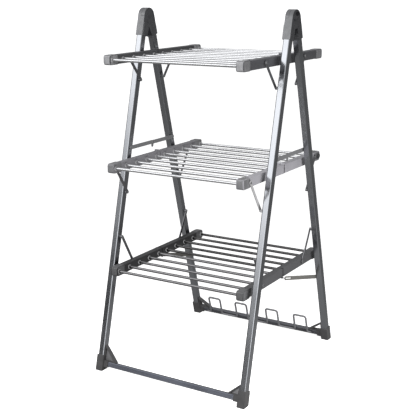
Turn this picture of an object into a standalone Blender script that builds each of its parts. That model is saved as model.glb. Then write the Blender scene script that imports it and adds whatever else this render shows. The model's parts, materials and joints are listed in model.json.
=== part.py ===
"""Heated clothes airer: two pairs of legs hinged at the top, carrying three tiers of heated bars.

Each tier is two wings that meet at a centre hinge. Struts riveted to the legs hold the wings, so the
tiers fold flat between the legs. Metres, +Z up, X across the front, the front faces -Y, floor at Z = 0.
"""

import math

import bmesh
import bpy
from mathutils import Matrix, Vector

# Frame
OVERALL_WIDTH = 0.730
LEG_WIDTH = 0.0286
LEG_DEPTH = 0.0309
LEG_WALL = 0.0012
LEG_CORNER = 0.0045
LEG_TILT = math.radians(14.38)
LEG_TOP_BELOW_HINGE = 0.0400
HINGE_HEIGHT = 1.485
FOLD_GAP = 0.0042
FIT_GAP = 0.0003
RUN_GAP = 0.0006
OVERRUN = 0.0100
OVERLAP = 0.0005

# Hinge caps at the top of the legs
CAP_WALL = 0.0025
CAP_LENGTH = 0.0870
HINGE_PIN_RADIUS = 0.0040
HINGE_HEAD_RADIUS = 0.0085
HINGE_HEAD_HEIGHT = 0.0015
WEB_THICKNESS = 0.0022
WEB_TOP = 0.0300
WEB_SHOULDER = 0.0680
WEB_NECK = 0.0150
WEB_SPREAD = 0.0360
WEB_SEAT = 0.0060

# Feet, each one moulding with a boot, a socket for the crossbar and a gusset
FOOT_WALL = 0.0030
FOOT_HEIGHT = 0.0640
FOOT_SOLE = 0.0120
SOCKET_LENGTH = 0.0220
SOCKET_WALL = 0.0028
SOCKET_STOP = 0.0040
LEFT_GUSSET_HEIGHT = 0.1090
LEFT_GUSSET_REACH = 0.0600
RIGHT_GUSSET_HEIGHT = 0.0885
RIGHT_GUSSET_REACH = 0.0500
REAR_GUSSET_HEIGHT = 0.0885
REAR_GUSSET_REACH = 0.0610
GUSSET_DEPTH = 0.0180
GUSSET_RIM = 0.0042
GUSSET_WEB = 0.0030

# Crossbars between the feet, and the bent wire that props shoes on the rear one
CROSSBAR_HEIGHT = 0.0215
CROSSBAR_DEPTH = 0.0200
CROSSBAR_RISE = 0.0280
CROSSBAR_WALL = 0.0012
CROSSBAR_CORNER = 0.0030
RACK_WIRE_RADIUS = 0.0046
RACK_LOOPS = ((-0.264, -0.201), (-0.115, -0.053), (0.053, 0.115), (0.201, 0.264))
RACK_TAIL = 0.0200
RACK_RISE = 0.0850
RACK_LEAN = math.radians(16)
RACK_BEND = 0.0100
RACK_BEND_STEPS = 2

# Tiers. The top one hangs from the hinge, and the others stand at their own height above the floor.
# Struts join the rails, at a distance from the middle of the frame, to the legs, below or above the bars
TOP_BELOW_HINGE = 0.1590
MIDDLE_HEIGHT = 0.8810
BOTTOM_HEIGHT = 0.4340
TOP_RAIL_PIVOT = 0.1720
MIDDLE_RAIL_PIVOT = 0.2920
BOTTOM_RAIL_PIVOT = 0.1830
TOP_STRUT_DROP = 0.1040
MIDDLE_STRUT_DROP = 0.1290
BOTTOM_STRUT_RISE = 0.1310

# Side rails of the wings
RAIL_LENGTH = 0.345
RAIL_WIDTH = 0.0296
RAIL_HEIGHT = 0.0382
RAIL_WALL = 0.0012
RAIL_CORNER = 0.0030
RAIL_TO_LEG = 0.0158
RAIL_START = 0.0052
END_CAP_LENGTH = 0.0530
END_CAP_PROUD = 0.0010
END_CAP_ROUND = 0.0090
END_CAP_WALL = 0.0050

# Centre hinges of the tiers, a half-lapped lug on each rail
TIER_PIN_RADIUS = 0.0018
TIER_PIN_RISE = 0.0025
TIER_PIN_INSET = 0.0010
LUG_RADIUS = 0.0042
LUG_REACH = 0.0160
LUG_INSET = 0.0004

# Heated bars: aluminium tubes on two end strips, with a heating core in each
BARS_PER_WING = 5
FIRST_BAR = 0.0330
LAST_BAR = 0.3300
BAR_RADIUS = 0.0060
BAR_WALL = 0.0010
BAR_ENTRY = 0.0080
BAR_STRIP_HEIGHT = 0.0160
BAR_STRIP_THICKNESS = 0.0015
BAR_STRIP_MARGIN = 0.0095
CORE_EXTENSION = 0.0030
CORE_STRIP_HEIGHT = 0.0120
CORE_STRIP_THICKNESS = 0.0015

# Struts, spreaders and the stays of the bottom tier, all flat bar
RIVET_RADIUS = 0.0024
RIVET_BOSS_RADIUS = 0.0060
RIVET_HEAD_RADIUS = 0.0100
RIVET_HEAD_HEIGHT = 0.0012
RIVET_TAIL = 0.0010
STRUT_HALF_WIDTH = 0.0065
STRUT_THICKNESS = 0.0030
SPREADER_RISE = 0.0570
SPREADER_HALF_WIDTH = 0.0085
SPREADER_THICKNESS = 0.0025
SPREADER_TAB = 0.0150
STAY_DROP = 0.1070
STAY_HALF_WIDTH = 0.0085
STAY_THICKNESS = 0.0030
STAY_SLOT = 0.0520

# Switch on the side of the middle tier's right rail, near its rear end, and the cord gland on that end
SWITCH_PLACE = 0.3225
BEZEL_HALF_LENGTH = 0.0190
BEZEL_HALF_HEIGHT = 0.0125
BEZEL_HEIGHT = 0.0045
BUTTON_HALF_LENGTH = 0.0135
BUTTON_HALF_HEIGHT = 0.0075
BUTTON_HEIGHT = 0.0045
BUTTON_REST = 0.0025
GLAND_RADIUS = 0.0070
GLAND_COLLAR_RADIUS = 0.0100
GLAND_COLLAR_LENGTH = 0.0045
GLAND_LENGTH = 0.0160

PIN_SIDES = 8
BORE_SIDES = 8
BAR_SIDES = 10
BOSS_SIDES = 12
KNUCKLE_SIDES = 30
CORNER_STEPS = 2
ARC_STEPS = 6

# Places that follow from the sizes above
HINGE = Vector((0, 0, HINGE_HEIGHT))
LEG_OFFSET = FOLD_GAP + LEG_DEPTH / 2
LEG_OUT = OVERALL_WIDTH / 2
LEG_IN = LEG_OUT - LEG_WIDTH
LEG_MIDDLE = (LEG_IN + LEG_OUT) / 2
FLOOR_BELOW_HINGE = (HINGE_HEIGHT + LEG_OFFSET * math.sin(LEG_TILT)) / math.cos(LEG_TILT)
LEG_END_BELOW_HINGE = FLOOR_BELOW_HINGE - FOOT_SOLE
CROSSBAR_BELOW_HINGE = FLOOR_BELOW_HINGE - CROSSBAR_RISE / math.cos(LEG_TILT)
TOP_HEIGHT = HINGE_HEIGHT - TOP_BELOW_HINGE
TOP_LEG_PIVOT = FLOOR_BELOW_HINGE - (TOP_HEIGHT - TOP_STRUT_DROP) / math.cos(LEG_TILT)
MIDDLE_LEG_PIVOT = FLOOR_BELOW_HINGE - (MIDDLE_HEIGHT - MIDDLE_STRUT_DROP) / math.cos(LEG_TILT)
BOTTOM_LEG_PIVOT = FLOOR_BELOW_HINGE - (BOTTOM_HEIGHT + BOTTOM_STRUT_RISE) / math.cos(LEG_TILT)
SPREADER_PIVOT = FLOOR_BELOW_HINGE - (MIDDLE_HEIGHT + SPREADER_RISE) / math.cos(LEG_TILT)
STAY_LEG_PIVOT = FLOOR_BELOW_HINGE - (BOTTOM_HEIGHT - STAY_DROP) / math.cos(LEG_TILT)
RAIL_OUT = LEG_IN - RAIL_TO_LEG
RAIL_IN = RAIL_OUT - RAIL_WIDTH
RAIL_MIDDLE = (RAIL_IN + RAIL_OUT) / 2
HINGE_TO_RAIL = RAIL_HEIGHT / 2 + TIER_PIN_RISE
CAP_INSIDE = FOLD_GAP - CAP_WALL
CAP_OUTSIDE = FOLD_GAP + LEG_DEPTH + CAP_WALL
FOOT_IN = LEG_IN - FOOT_WALL
STRUT_IN = RAIL_OUT + END_CAP_PROUD + RUN_GAP
STRUT_OUT = STRUT_IN + STRUT_THICKNESS
STAY_OUT = LEG_IN - RUN_GAP
STAY_IN = STAY_OUT - STAY_THICKNESS
BAR_END = RAIL_IN + RAIL_WALL + BAR_ENTRY
CORE_END = BAR_END + CORE_EXTENSION
SIDES = {"left": -1, "right": 1}
WAYS = {"front": -1, "rear": 1}
FRONT_GUSSETS = {-1: (LEFT_GUSSET_HEIGHT, LEFT_GUSSET_REACH), 1: (RIGHT_GUSSET_HEIGHT, RIGHT_GUSSET_REACH)}

# Each tier: height of the bars, rail pivot and leg pivot of the struts, and on which side of the rails
# the centre hinge lies (1 above, so the wings fold up; -1 below, so they hang down)
TIERS = {
    "top": (TOP_HEIGHT, TOP_RAIL_PIVOT, TOP_LEG_PIVOT, 1),
    "middle": (MIDDLE_HEIGHT, MIDDLE_RAIL_PIVOT, MIDDLE_LEG_PIVOT, 1),
    "bottom": (BOTTOM_HEIGHT, BOTTOM_RAIL_PIVOT, BOTTOM_LEG_PIVOT, -1),
}

X_AXIS = Vector((1, 0, 0))
Y_AXIS = Vector((0, 1, 0))
Z_AXIS = Vector((0, 0, 1))


def placing(origin, first, second, along):
    """Matrix that lays an outline along two directions and sweeps it along a third."""
    matrix = Matrix((first, second, along)).transposed().to_4x4()
    matrix.translation = origin
    return matrix


def outward(way):
    """Direction square to a leg, away from the plane on which the frame folds."""
    return Vector((0, way * math.cos(LEG_TILT), math.sin(LEG_TILT)))


def downward(way):
    """Direction down along a leg."""
    return Vector((0, way * math.sin(LEG_TILT), -math.cos(LEG_TILT)))


def on_leg(way, below_hinge):
    """Point on a leg's centre line, at X = 0."""
    return HINGE + outward(way) * LEG_OFFSET + downward(way) * below_hinge


def leg_side(way):
    """Outline in (outward, downward) from the main hinge, swept across the frame."""
    return placing(HINGE, outward(way), downward(way), X_AXIS)


def leg_section(way):
    """Outline in (X, outward), swept down along the leg."""
    return placing(HINGE, X_AXIS, outward(way), downward(way))


def leg_face(way):
    """Outline in (X, downward), swept outward."""
    return placing(HINGE, X_AXIS, downward(way), outward(way))


def tier_side(height, way, above):
    """Outline in (out along the wing, towards the hinge side), swept across, from the centre hinge."""
    centre = Vector((0, 0, height + above * HINGE_TO_RAIL))
    return placing(centre, Y_AXIS * way, Z_AXIS * above, X_AXIS)


def rail_section(height, way):
    """Outline in (X, Z) about the bars' height, swept out along the wing."""
    return placing(Vector((0, 0, height)), X_AXIS, Z_AXIS, Y_AXIS * way)


def turning(point):
    """Outline in (Y, Z) about a point, swept across the frame."""
    return placing(Vector((0, point.y, point.z)), Y_AXIS, Z_AXIS, X_AXIS)


def circle(centre, radius, sides):
    """Closed outline of a circle."""
    turns = [2 * math.pi * i / sides for i in range(sides)]
    return [(centre[0] + radius * math.cos(t), centre[1] + radius * math.sin(t)) for t in turns]


def arc(centre, radius, start, end, steps):
    """Points along an arc, angles in degrees."""
    turns = [math.radians(start + (end - start) * i / steps) for i in range(steps + 1)]
    return [(centre[0] + radius * math.cos(t), centre[1] + radius * math.sin(t)) for t in turns]


def box_outline(low, high):
    """Closed outline of a rectangle from its low to its high corner."""
    return [low, (high[0], low[1]), high, (low[0], high[1])]


def rounded_outline(low, high, radius):
    """Closed outline of a rectangle with four round corners."""
    left, right = low[0] + radius, high[0] - radius
    bottom, top = low[1] + radius, high[1] - radius
    return (
        arc((left, bottom), radius, 180, 270, CORNER_STEPS)
        + arc((right, bottom), radius, 270, 360, CORNER_STEPS)
        + arc((right, top), radius, 0, 90, CORNER_STEPS)
        + arc((left, top), radius, 90, 180, CORNER_STEPS)
    )


def bar_outline(start, end, half_width):
    """Closed outline of a flat bar with round ends, between two points given as (Y, Z)."""
    lean = math.degrees(math.atan2(end[1] - start[1], end[0] - start[0]))
    return arc(end, half_width, lean - 90, lean + 90, ARC_STEPS) + arc(
        start, half_width, lean + 90, lean + 270, ARC_STEPS
    )


def oval(half_length, half_height):
    """Closed outline of a flat-sided oval about the origin."""
    centre = half_length - half_height
    right = arc((centre, 0), half_height, -90, 90, ARC_STEPS)
    left = arc((-centre, 0), half_height, 90, 270, ARC_STEPS)
    return right + left


def section_outline(middle, offset, width, depth, corner, grown=0.0):
    """Rounded rectangle in (X, outward), grown on every side by a clearance or shrunk by a wall."""
    low = (middle - width / 2 - grown, offset - depth / 2 - grown)
    high = (middle + width / 2 + grown, offset + depth / 2 + grown)
    return rounded_outline(low, high, corner + grown)


def add_prism(mesh, outline, place, start, end):
    """Adds the outline swept from start to end."""
    near, far = ([mesh.verts.new(place @ Vector((a, b, s))) for a, b in outline] for s in (start, end))
    mesh.faces.new(near)
    mesh.faces.new(far)
    for i, _ in enumerate(outline):
        before = i - 1
        mesh.faces.new((near[before], near[i], far[i], far[before]))


def add_tube(mesh, outer, inner, place, start, end):
    """Adds a tube, open at both ends, between two outlines with the same number of points."""
    rings = [
        [mesh.verts.new(place @ Vector((a, b, s))) for a, b in outline]
        for outline, s in ((outer, start), (outer, end), (inner, end), (inner, start))
    ]
    for this, after in zip(rings, rings[1:] + rings[:1]):
        for i, _ in enumerate(this):
            mesh.faces.new((this[i - 1], this[i], after[i], after[i - 1]))


def add_turned(mesh, profile, place, sides):
    """Adds a stepped round solid. The profile lists (along, radius) from one end to the other."""
    rings = [
        [mesh.verts.new(place @ Vector((a, b, s))) for a, b in circle((0, 0), radius, sides)]
        for s, radius in profile
    ]
    mesh.faces.new(rings[0])
    mesh.faces.new(rings[-1])
    for this, after in zip(rings, rings[1:]):
        for i, _ in enumerate(this):
            mesh.faces.new((this[i - 1], this[i], after[i], after[i - 1]))


def material(name, colour, roughness, metallic):
    """Principled material with a base colour, roughness and metallic value."""
    made = bpy.data.materials.new(name)
    made.use_nodes = True
    shader = made.node_tree.nodes["Principled BSDF"]
    shader.inputs["Base Color"].default_value = (*colour, 1)
    shader.inputs["Roughness"].default_value = roughness
    shader.inputs["Metallic"].default_value = metallic
    made.diffuse_color = (*colour, 1)
    return made


def axis(name, point, parent=None):
    """Empty on a joint's axis, carried by the empty of the body that it turns on."""
    empty = bpy.data.objects.new(name, None)
    empty.location = point
    if parent is not None:
        empty.parent = parent
        empty.location = point - place_of(parent)
    bpy.context.scene.collection.objects.link(empty)
    return empty


def place_of(empty):
    """World position of an unturned empty."""
    place = empty.location.copy()
    while empty.parent is not None:
        empty = empty.parent
        place += empty.location
    return place


def piece(name, mesh, look, body):
    """Turns a bmesh in world coordinates into an object whose origin lies on its body's axis."""
    bmesh.ops.recalc_face_normals(mesh, faces=mesh.faces)
    data = bpy.data.meshes.new(name)
    mesh.to_mesh(data)
    mesh.free()
    data.transform(Matrix.Translation(-place_of(body)))
    made = bpy.data.objects.new(name, data)
    made.parent = body
    bpy.context.scene.collection.objects.link(made)
    if look is not None:
        data.materials.append(look)
        data.shade_smooth()
        data.set_sharp_from_angle(angle=math.radians(35))
    return made


def prisms(shapes):
    """Bmesh of separate prisms, each given as (outline, place, start, end)."""
    mesh = bmesh.new()
    for outline, place, start, end in shapes:
        add_prism(mesh, outline, place, start, end)
    return mesh


def combine(target, operation, mesh):
    """Boolean of a piece with the shapes of a bmesh, kept as a hidden wire helper on the same body."""
    helper = piece(f"{target.name}_{operation.lower()}_{len(target.modifiers)}", mesh, None, target.parent)
    helper.hide_render = True
    helper.display_type = "WIRE"
    modifier = target.modifiers.new(operation.title(), "BOOLEAN")
    modifier.operation = operation
    modifier.solver = "EXACT"
    modifier.object = helper


def span(side, low, high):
    """Start and end across the frame, mirrored for the left side."""
    return (side * low, side * high)


def make_leg(name, way, side, looks, body):
    """Square tube from the hinge cap to the foot, drilled on its inner face for the rivets."""
    middle = side * LEG_MIDDLE
    outer = section_outline(middle, LEG_OFFSET, LEG_WIDTH, LEG_DEPTH, LEG_CORNER)
    inner = section_outline(middle, LEG_OFFSET, LEG_WIDTH, LEG_DEPTH, LEG_CORNER, -LEG_WALL)
    mesh = bmesh.new()
    add_tube(mesh, outer, inner, leg_section(way), LEG_TOP_BELOW_HINGE, LEG_END_BELOW_HINGE)
    leg = piece(name, mesh, looks["leg"], body)
    pivots = [tier[2] for tier in TIERS.values()] + [SPREADER_PIVOT]
    if way > 0:
        pivots.append(STAY_LEG_PIVOT)
    start, end = span(side, LEG_IN - OVERRUN, LEG_IN + LEG_WALL + OVERLAP)
    hole = circle((0, 0), RIVET_RADIUS + FIT_GAP, PIN_SIDES)
    combine(leg, "DIFFERENCE", prisms([(hole, turning(on_leg(way, at)), start, end) for at in pivots]))


def make_crossbar(name, way, looks, body):
    """Rectangular tube that joins the feet of one pair of legs."""
    place = placing(on_leg(way, CROSSBAR_BELOW_HINGE), outward(way), downward(way), X_AXIS)
    low = (-CROSSBAR_DEPTH / 2, -CROSSBAR_HEIGHT / 2)
    high = (CROSSBAR_DEPTH / 2, CROSSBAR_HEIGHT / 2)
    inside = (
        (low[0] + CROSSBAR_WALL, low[1] + CROSSBAR_WALL),
        (high[0] - CROSSBAR_WALL, high[1] - CROSSBAR_WALL),
    )
    outer = rounded_outline(low, high, CROSSBAR_CORNER)
    inner = rounded_outline(*inside, CROSSBAR_CORNER - CROSSBAR_WALL)
    end = FOOT_IN - SOCKET_STOP - FIT_GAP
    mesh = bmesh.new()
    add_tube(mesh, outer, inner, place, -end, end)
    piece(name, mesh, looks["crossbar"], body)


def make_foot(name, way, side, looks, body):
    """Moulding with a boot round the leg, a socket for the crossbar and a gusset between them."""
    inside, outside = FOLD_GAP - FOOT_WALL, FOLD_GAP + LEG_DEPTH + FOOT_WALL
    floor = [(HINGE_HEIGHT + out * math.sin(LEG_TILT)) / math.cos(LEG_TILT) for out in (inside, outside)]
    top = FLOOR_BELOW_HINGE - FOOT_HEIGHT
    boot = [(inside, top), (outside, top), (outside, floor[1]), (inside, floor[0])]
    mesh = prisms([(boot, leg_side(way), *span(side, FOOT_IN, LEG_OUT + FOOT_WALL))])
    foot = piece(name, mesh, looks["foot"], body)

    bar = placing(on_leg(way, CROSSBAR_BELOW_HINGE), outward(way), downward(way), X_AXIS)
    half = (CROSSBAR_DEPTH / 2, CROSSBAR_HEIGHT / 2)
    grown = (half[0] + SOCKET_WALL, half[1] + SOCKET_WALL)
    socket = box_outline((-grown[0], -grown[1]), grown)
    combine(foot, "UNION", prisms([(socket, bar, *span(side, FOOT_IN - SOCKET_LENGTH, LEG_MIDDLE))]))

    gusset_height, gusset_reach = FRONT_GUSSETS[side] if way < 0 else (REAR_GUSSET_HEIGHT, REAR_GUSSET_REACH)
    tip = FOOT_IN - gusset_reach
    root = LEG_IN - FIT_GAP
    peak = FLOOR_BELOW_HINGE - gusset_height
    seat = CROSSBAR_BELOW_HINGE - half[1] - FIT_GAP
    edge = seat - GUSSET_RIM
    foot_of_rim = seat + GUSSET_RIM
    triangle = [(side * root, peak), (side * root, foot_of_rim), (side * tip, foot_of_rim), (side * tip, edge)]
    near, far = LEG_OFFSET - GUSSET_DEPTH / 2, LEG_OFFSET + GUSSET_DEPTH / 2
    combine(foot, "UNION", prisms([(triangle, leg_face(way), near, far)]))

    slope = (seat - peak) / (root - tip)
    corner = root - GUSSET_RIM
    inner_peak = peak + GUSSET_RIM * slope + GUSSET_RIM * math.hypot(1, slope)
    recess = [
        (side * corner, inner_peak),
        (side * corner, edge),
        (side * (corner - (edge - inner_peak) / slope), edge),
    ]
    # The front gussets keep a thin web between the rims; the rear ones are open
    web_near, web_far = LEG_OFFSET - GUSSET_WEB / 2, LEG_OFFSET + GUSSET_WEB / 2
    recesses = [
        (recess, leg_face(way), near - OVERRUN, web_near),
        (recess, leg_face(way), web_far, far + OVERRUN),
    ]
    if way > 0:
        recesses = [(recess, leg_face(way), near - OVERRUN, far + OVERRUN)]
    combine(foot, "DIFFERENCE", prisms(recesses))

    pocket = section_outline(side * LEG_MIDDLE, LEG_OFFSET, LEG_WIDTH, LEG_DEPTH, LEG_CORNER, FIT_GAP)
    passage = box_outline((-half[0] - FIT_GAP, -half[1] - FIT_GAP), (half[0] + FIT_GAP, half[1] + FIT_GAP))
    hollows = [
        (pocket, leg_section(way), peak - OVERRUN, LEG_END_BELOW_HINGE + FIT_GAP),
        (passage, bar, *span(side, tip - OVERRUN, FOOT_IN - SOCKET_STOP)),
    ]
    combine(foot, "DIFFERENCE", prisms(hollows))


def make_hinge_cap(name, way, side, looks, body):
    """Moulding over the top of a leg with half of the knuckle: the front one takes the outer half."""
    radius = CAP_OUTSIDE
    profile = arc((0, 0), radius, 0, -270, KNUCKLE_SIDES)[:-1]
    reach = math.sqrt(radius**2 - CAP_INSIDE**2)
    profile += [(CAP_INSIDE, reach), (CAP_INSIDE, CAP_LENGTH), (CAP_OUTSIDE, CAP_LENGTH)]
    inner, outer = LEG_IN - CAP_WALL, LEG_OUT + CAP_WALL
    place = leg_side(way)
    mesh = prisms([(profile, place, *span(side, inner, outer))])
    cap = piece(name, mesh, looks["cap"], body)

    halves = {-1: (inner - OVERRUN, LEG_MIDDLE + RUN_GAP / 2), 1: (LEG_MIDDLE - RUN_GAP / 2, outer + OVERRUN)}
    clearance = circle((0, 0), radius + RUN_GAP, KNUCKLE_SIDES)
    combine(cap, "DIFFERENCE", prisms([(clearance, place, *span(side, *halves[way]))]))

    pocket = section_outline(side * LEG_MIDDLE, LEG_OFFSET, LEG_WIDTH, LEG_DEPTH, LEG_CORNER, FIT_GAP)
    start = LEG_TOP_BELOW_HINGE - FIT_GAP
    combine(cap, "DIFFERENCE", prisms([(pocket, leg_section(way), start, CAP_LENGTH + OVERRUN)]))

    if way > 0:
        bore = circle((0, 0), HINGE_PIN_RADIUS + FIT_GAP, BOSS_SIDES)
        combine(cap, "DIFFERENCE", prisms([(bore, place, *span(side, inner - OVERRUN, outer + OVERRUN))]))
        return

    web_out = inner - FIT_GAP
    web_in = web_out - WEB_THICKNESS
    pin = bmesh.new()
    steps = [
        (web_in, HINGE_PIN_RADIUS),
        (outer - OVERLAP, HINGE_PIN_RADIUS),
        (outer - OVERLAP, HINGE_HEAD_RADIUS),
        (outer + HINGE_HEAD_HEIGHT, HINGE_HEAD_RADIUS),
    ]
    add_turned(pin, [(side * s, r) for s, r in steps], turning(HINGE), BOSS_SIDES)
    combine(cap, "UNION", pin)
    web = [
        (CAP_OUTSIDE - CAP_WALL, WEB_TOP),
        (-WEB_NECK, WEB_TOP),
        (-WEB_SPREAD, WEB_SHOULDER),
        (-WEB_SPREAD, CAP_LENGTH),
        (CAP_OUTSIDE - CAP_WALL, CAP_LENGTH),
    ]
    combine(cap, "UNION", prisms([(web, place, *span(side, web_in, web_out))]))
    seat = box_outline((WEB_SEAT, LEG_TOP_BELOW_HINGE + WEB_SEAT), (LEG_DEPTH, CAP_LENGTH - WEB_SEAT))
    combine(cap, "UNION", prisms([(seat, place, *span(side, web_in + OVERLAP, inner + OVERLAP))]))


def bar_places():
    """Distances of the bars from the centre hinge."""
    step = (LAST_BAR - FIRST_BAR) / (BARS_PER_WING - 1)
    return [FIRST_BAR + step * i for i in range(BARS_PER_WING)]


def make_rail(name, tier, way, side, looks, body):
    """Hollow side rail of one wing with its end cap and its half of the centre hinge."""
    height, rail_pivot, _, above = TIERS[tier]
    place = rail_section(height, way)
    middle = side * RAIL_MIDDLE
    low = (middle - RAIL_WIDTH / 2, -RAIL_HEIGHT / 2)
    high = (middle + RAIL_WIDTH / 2, RAIL_HEIGHT / 2)
    outline = rounded_outline(low, high, RAIL_CORNER)
    mesh = prisms([(outline, place, RAIL_START, RAIL_LENGTH - END_CAP_WALL / 2)])
    rail = piece(name, mesh, looks[f"{tier}_rail"], body)

    start = RAIL_LENGTH - END_CAP_LENGTH
    tall = RAIL_HEIGHT / 2 + END_CAP_PROUD
    turn = END_CAP_ROUND
    end_cap = [(start, -tall), (start, tall)]
    end_cap += arc((RAIL_LENGTH - turn, tall - turn), turn, 90, 0, CORNER_STEPS)
    end_cap += arc((RAIL_LENGTH - turn, turn - tall), turn, 0, -90, CORNER_STEPS)
    cap_place = placing(Vector((0, 0, height)), Y_AXIS * way, Z_AXIS, X_AXIS)
    cap_span = span(side, RAIL_IN - END_CAP_PROUD, RAIL_OUT + END_CAP_PROUD)
    combine(rail, "UNION", prisms([(end_cap, cap_place, *cap_span)]))

    cavity_low = (low[0] + RAIL_WALL, low[1] + RAIL_WALL)
    cavity_high = (high[0] - RAIL_WALL, high[1] - RAIL_WALL)
    cavity = box_outline(cavity_low, cavity_high)
    combine(rail, "DIFFERENCE", prisms([(cavity, place, RAIL_START - OVERRUN, RAIL_LENGTH - END_CAP_WALL)]))

    outer_half = RAIL_MIDDLE + RUN_GAP / 2, RAIL_OUT - LUG_INSET
    inner_half = RAIL_IN + LUG_INSET, RAIL_MIDDLE - RUN_GAP / 2
    lug_span = outer_half if way < 0 else inner_half
    deep = -(TIER_PIN_RISE + RAIL_HEIGHT - LUG_INSET)
    shallow = -(TIER_PIN_RISE + LUG_INSET)
    lug = [(FIT_GAP, deep), (FIT_GAP, -math.sqrt(LUG_RADIUS**2 - FIT_GAP**2))]
    lug += arc((0, 0), LUG_RADIUS, -105, -360, BOSS_SIDES)
    lug += [(LUG_RADIUS, shallow), (LUG_REACH, shallow), (LUG_REACH, deep)]
    hinge = tier_side(height, way, above)
    combine(rail, "UNION", prisms([(lug, hinge, *span(side, *lug_span))]))

    hole = circle((0, 0), BAR_RADIUS + FIT_GAP, BAR_SIDES)
    spots = [placing(Vector((0, way * at, height)), Y_AXIS, Z_AXIS, X_AXIS) for at in bar_places()]
    entry = span(side, RAIL_IN - OVERRUN, RAIL_IN + RAIL_WALL + OVERLAP)
    holes = [(hole, spot, *entry) for spot in spots]
    if way < 0:
        rivet = circle((0, 0), RIVET_RADIUS + FIT_GAP, PIN_SIDES)
        at_pivot = turning(Vector((0, way * rail_pivot, height)))
        holes.append((rivet, at_pivot, *span(side, RAIL_OUT - RAIL_WALL - OVERLAP, RAIL_OUT + OVERRUN)))
    else:
        bore = circle((0, 0), TIER_PIN_RADIUS + FIT_GAP, PIN_SIDES)
        holes.append((bore, hinge, *span(side, RAIL_IN - OVERRUN, RAIL_MIDDLE + OVERRUN)))
    combine(rail, "DIFFERENCE", prisms(holes))

    if way < 0:
        tip = STAY_IN - FIT_GAP if above < 0 else RAIL_OUT
        pin = circle((0, 0), TIER_PIN_RADIUS, PIN_SIDES)
        combine(rail, "UNION", prisms([(pin, hinge, *span(side, RAIL_IN + TIER_PIN_INSET, tip))]))


def make_bars(name, tier, way, looks, body):
    """Heated tubes of one wing on the two strips that hold them inside the rails."""
    height = TIERS[tier][0]
    spots = [placing(Vector((0, way * at, height)), Y_AXIS, Z_AXIS, X_AXIS) for at in bar_places()]
    tube = circle((0, 0), BAR_RADIUS, BAR_SIDES)
    tubes = prisms([(tube, spot, -BAR_END, BAR_END) for spot in spots])
    bars = piece(name, tubes, looks[f"{tier}_bar"], body)
    strip = box_outline(
        (FIRST_BAR - BAR_STRIP_MARGIN, -BAR_STRIP_HEIGHT / 2),
        (LAST_BAR + BAR_STRIP_MARGIN, BAR_STRIP_HEIGHT / 2),
    )
    place = placing(Vector((0, 0, height)), Y_AXIS * way, Z_AXIS, X_AXIS)
    start = BAR_END - OVERLAP
    strips = [(strip, place, *span(side, start, start + BAR_STRIP_THICKNESS)) for side in SIDES.values()]
    combine(bars, "UNION", prisms(strips))
    bore = circle((0, 0), BAR_RADIUS - BAR_WALL, BORE_SIDES)
    reach = BAR_END + OVERRUN
    combine(bars, "DIFFERENCE", prisms([(bore, spot, -reach, reach) for spot in spots]))


def make_cores(name, tier, way, looks, body):
    """Heating cores of one wing, one in each tube, joined by a lead strip in each rail."""
    height = TIERS[tier][0]
    spots = [placing(Vector((0, way * at, height)), Y_AXIS, Z_AXIS, X_AXIS) for at in bar_places()]
    rod = circle((0, 0), BAR_RADIUS - BAR_WALL - FIT_GAP, BORE_SIDES)
    cores = piece(name, prisms([(rod, spot, -CORE_END, CORE_END) for spot in spots]), looks["core"], body)
    strip = box_outline(
        (FIRST_BAR - CORE_STRIP_HEIGHT / 2, -CORE_STRIP_HEIGHT / 2),
        (LAST_BAR + CORE_STRIP_HEIGHT / 2, CORE_STRIP_HEIGHT / 2),
    )
    place = placing(Vector((0, 0, height)), Y_AXIS * way, Z_AXIS, X_AXIS)
    start = CORE_END - OVERLAP
    strips = [(strip, place, *span(side, start, start + CORE_STRIP_THICKNESS)) for side in SIDES.values()]
    combine(cores, "UNION", prisms(strips))


def make_strut(name, tier, way, side, looks, body):
    """Flat bar from a rail to a leg. The rear one stops short of its rail, where the linkage is opened."""
    height, rail_pivot, leg_pivot, _ = TIERS[tier]
    rail_end = Vector((0, way * rail_pivot, height))
    leg_end = on_leg(way, leg_pivot)
    outline = bar_outline((rail_end.y, rail_end.z), (leg_end.y, leg_end.z), STRUT_HALF_WIDTH)
    flat = placing(Vector((0, 0, 0)), Y_AXIS, Z_AXIS, X_AXIS)
    strut = piece(name, prisms([(outline, flat, *span(side, STRUT_IN, STRUT_OUT))]), looks["strut"], body)

    on_cap = rail_pivot + RIVET_BOSS_RADIUS > RAIL_LENGTH - END_CAP_LENGTH
    face = RAIL_OUT + (END_CAP_PROUD if on_cap else 0.0) + FIT_GAP
    rail_fitting = [
        (face, RIVET_BOSS_RADIUS),
        (STRUT_OUT - OVERLAP, RIVET_BOSS_RADIUS),
        (STRUT_OUT - OVERLAP, RIVET_HEAD_RADIUS),
        (STRUT_OUT + RIVET_HEAD_HEIGHT, RIVET_HEAD_RADIUS),
    ]
    if way < 0:
        tail = RAIL_OUT - RAIL_WALL - RIVET_TAIL
        rail_fitting = [(tail, RIVET_RADIUS), (face, RIVET_RADIUS)] + rail_fitting
    leg_fitting = [
        (STRUT_IN + OVERLAP, RIVET_BOSS_RADIUS),
        (LEG_IN - FIT_GAP, RIVET_BOSS_RADIUS),
        (LEG_IN - FIT_GAP, RIVET_RADIUS),
        (LEG_IN + LEG_WALL + RIVET_TAIL, RIVET_RADIUS),
    ]
    fittings = bmesh.new()
    add_turned(fittings, [(side * s, r) for s, r in rail_fitting], turning(rail_end), BOSS_SIDES)
    add_turned(fittings, [(side * s, r) for s, r in leg_fitting], turning(leg_end), BOSS_SIDES)
    combine(strut, "UNION", fittings)


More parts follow.
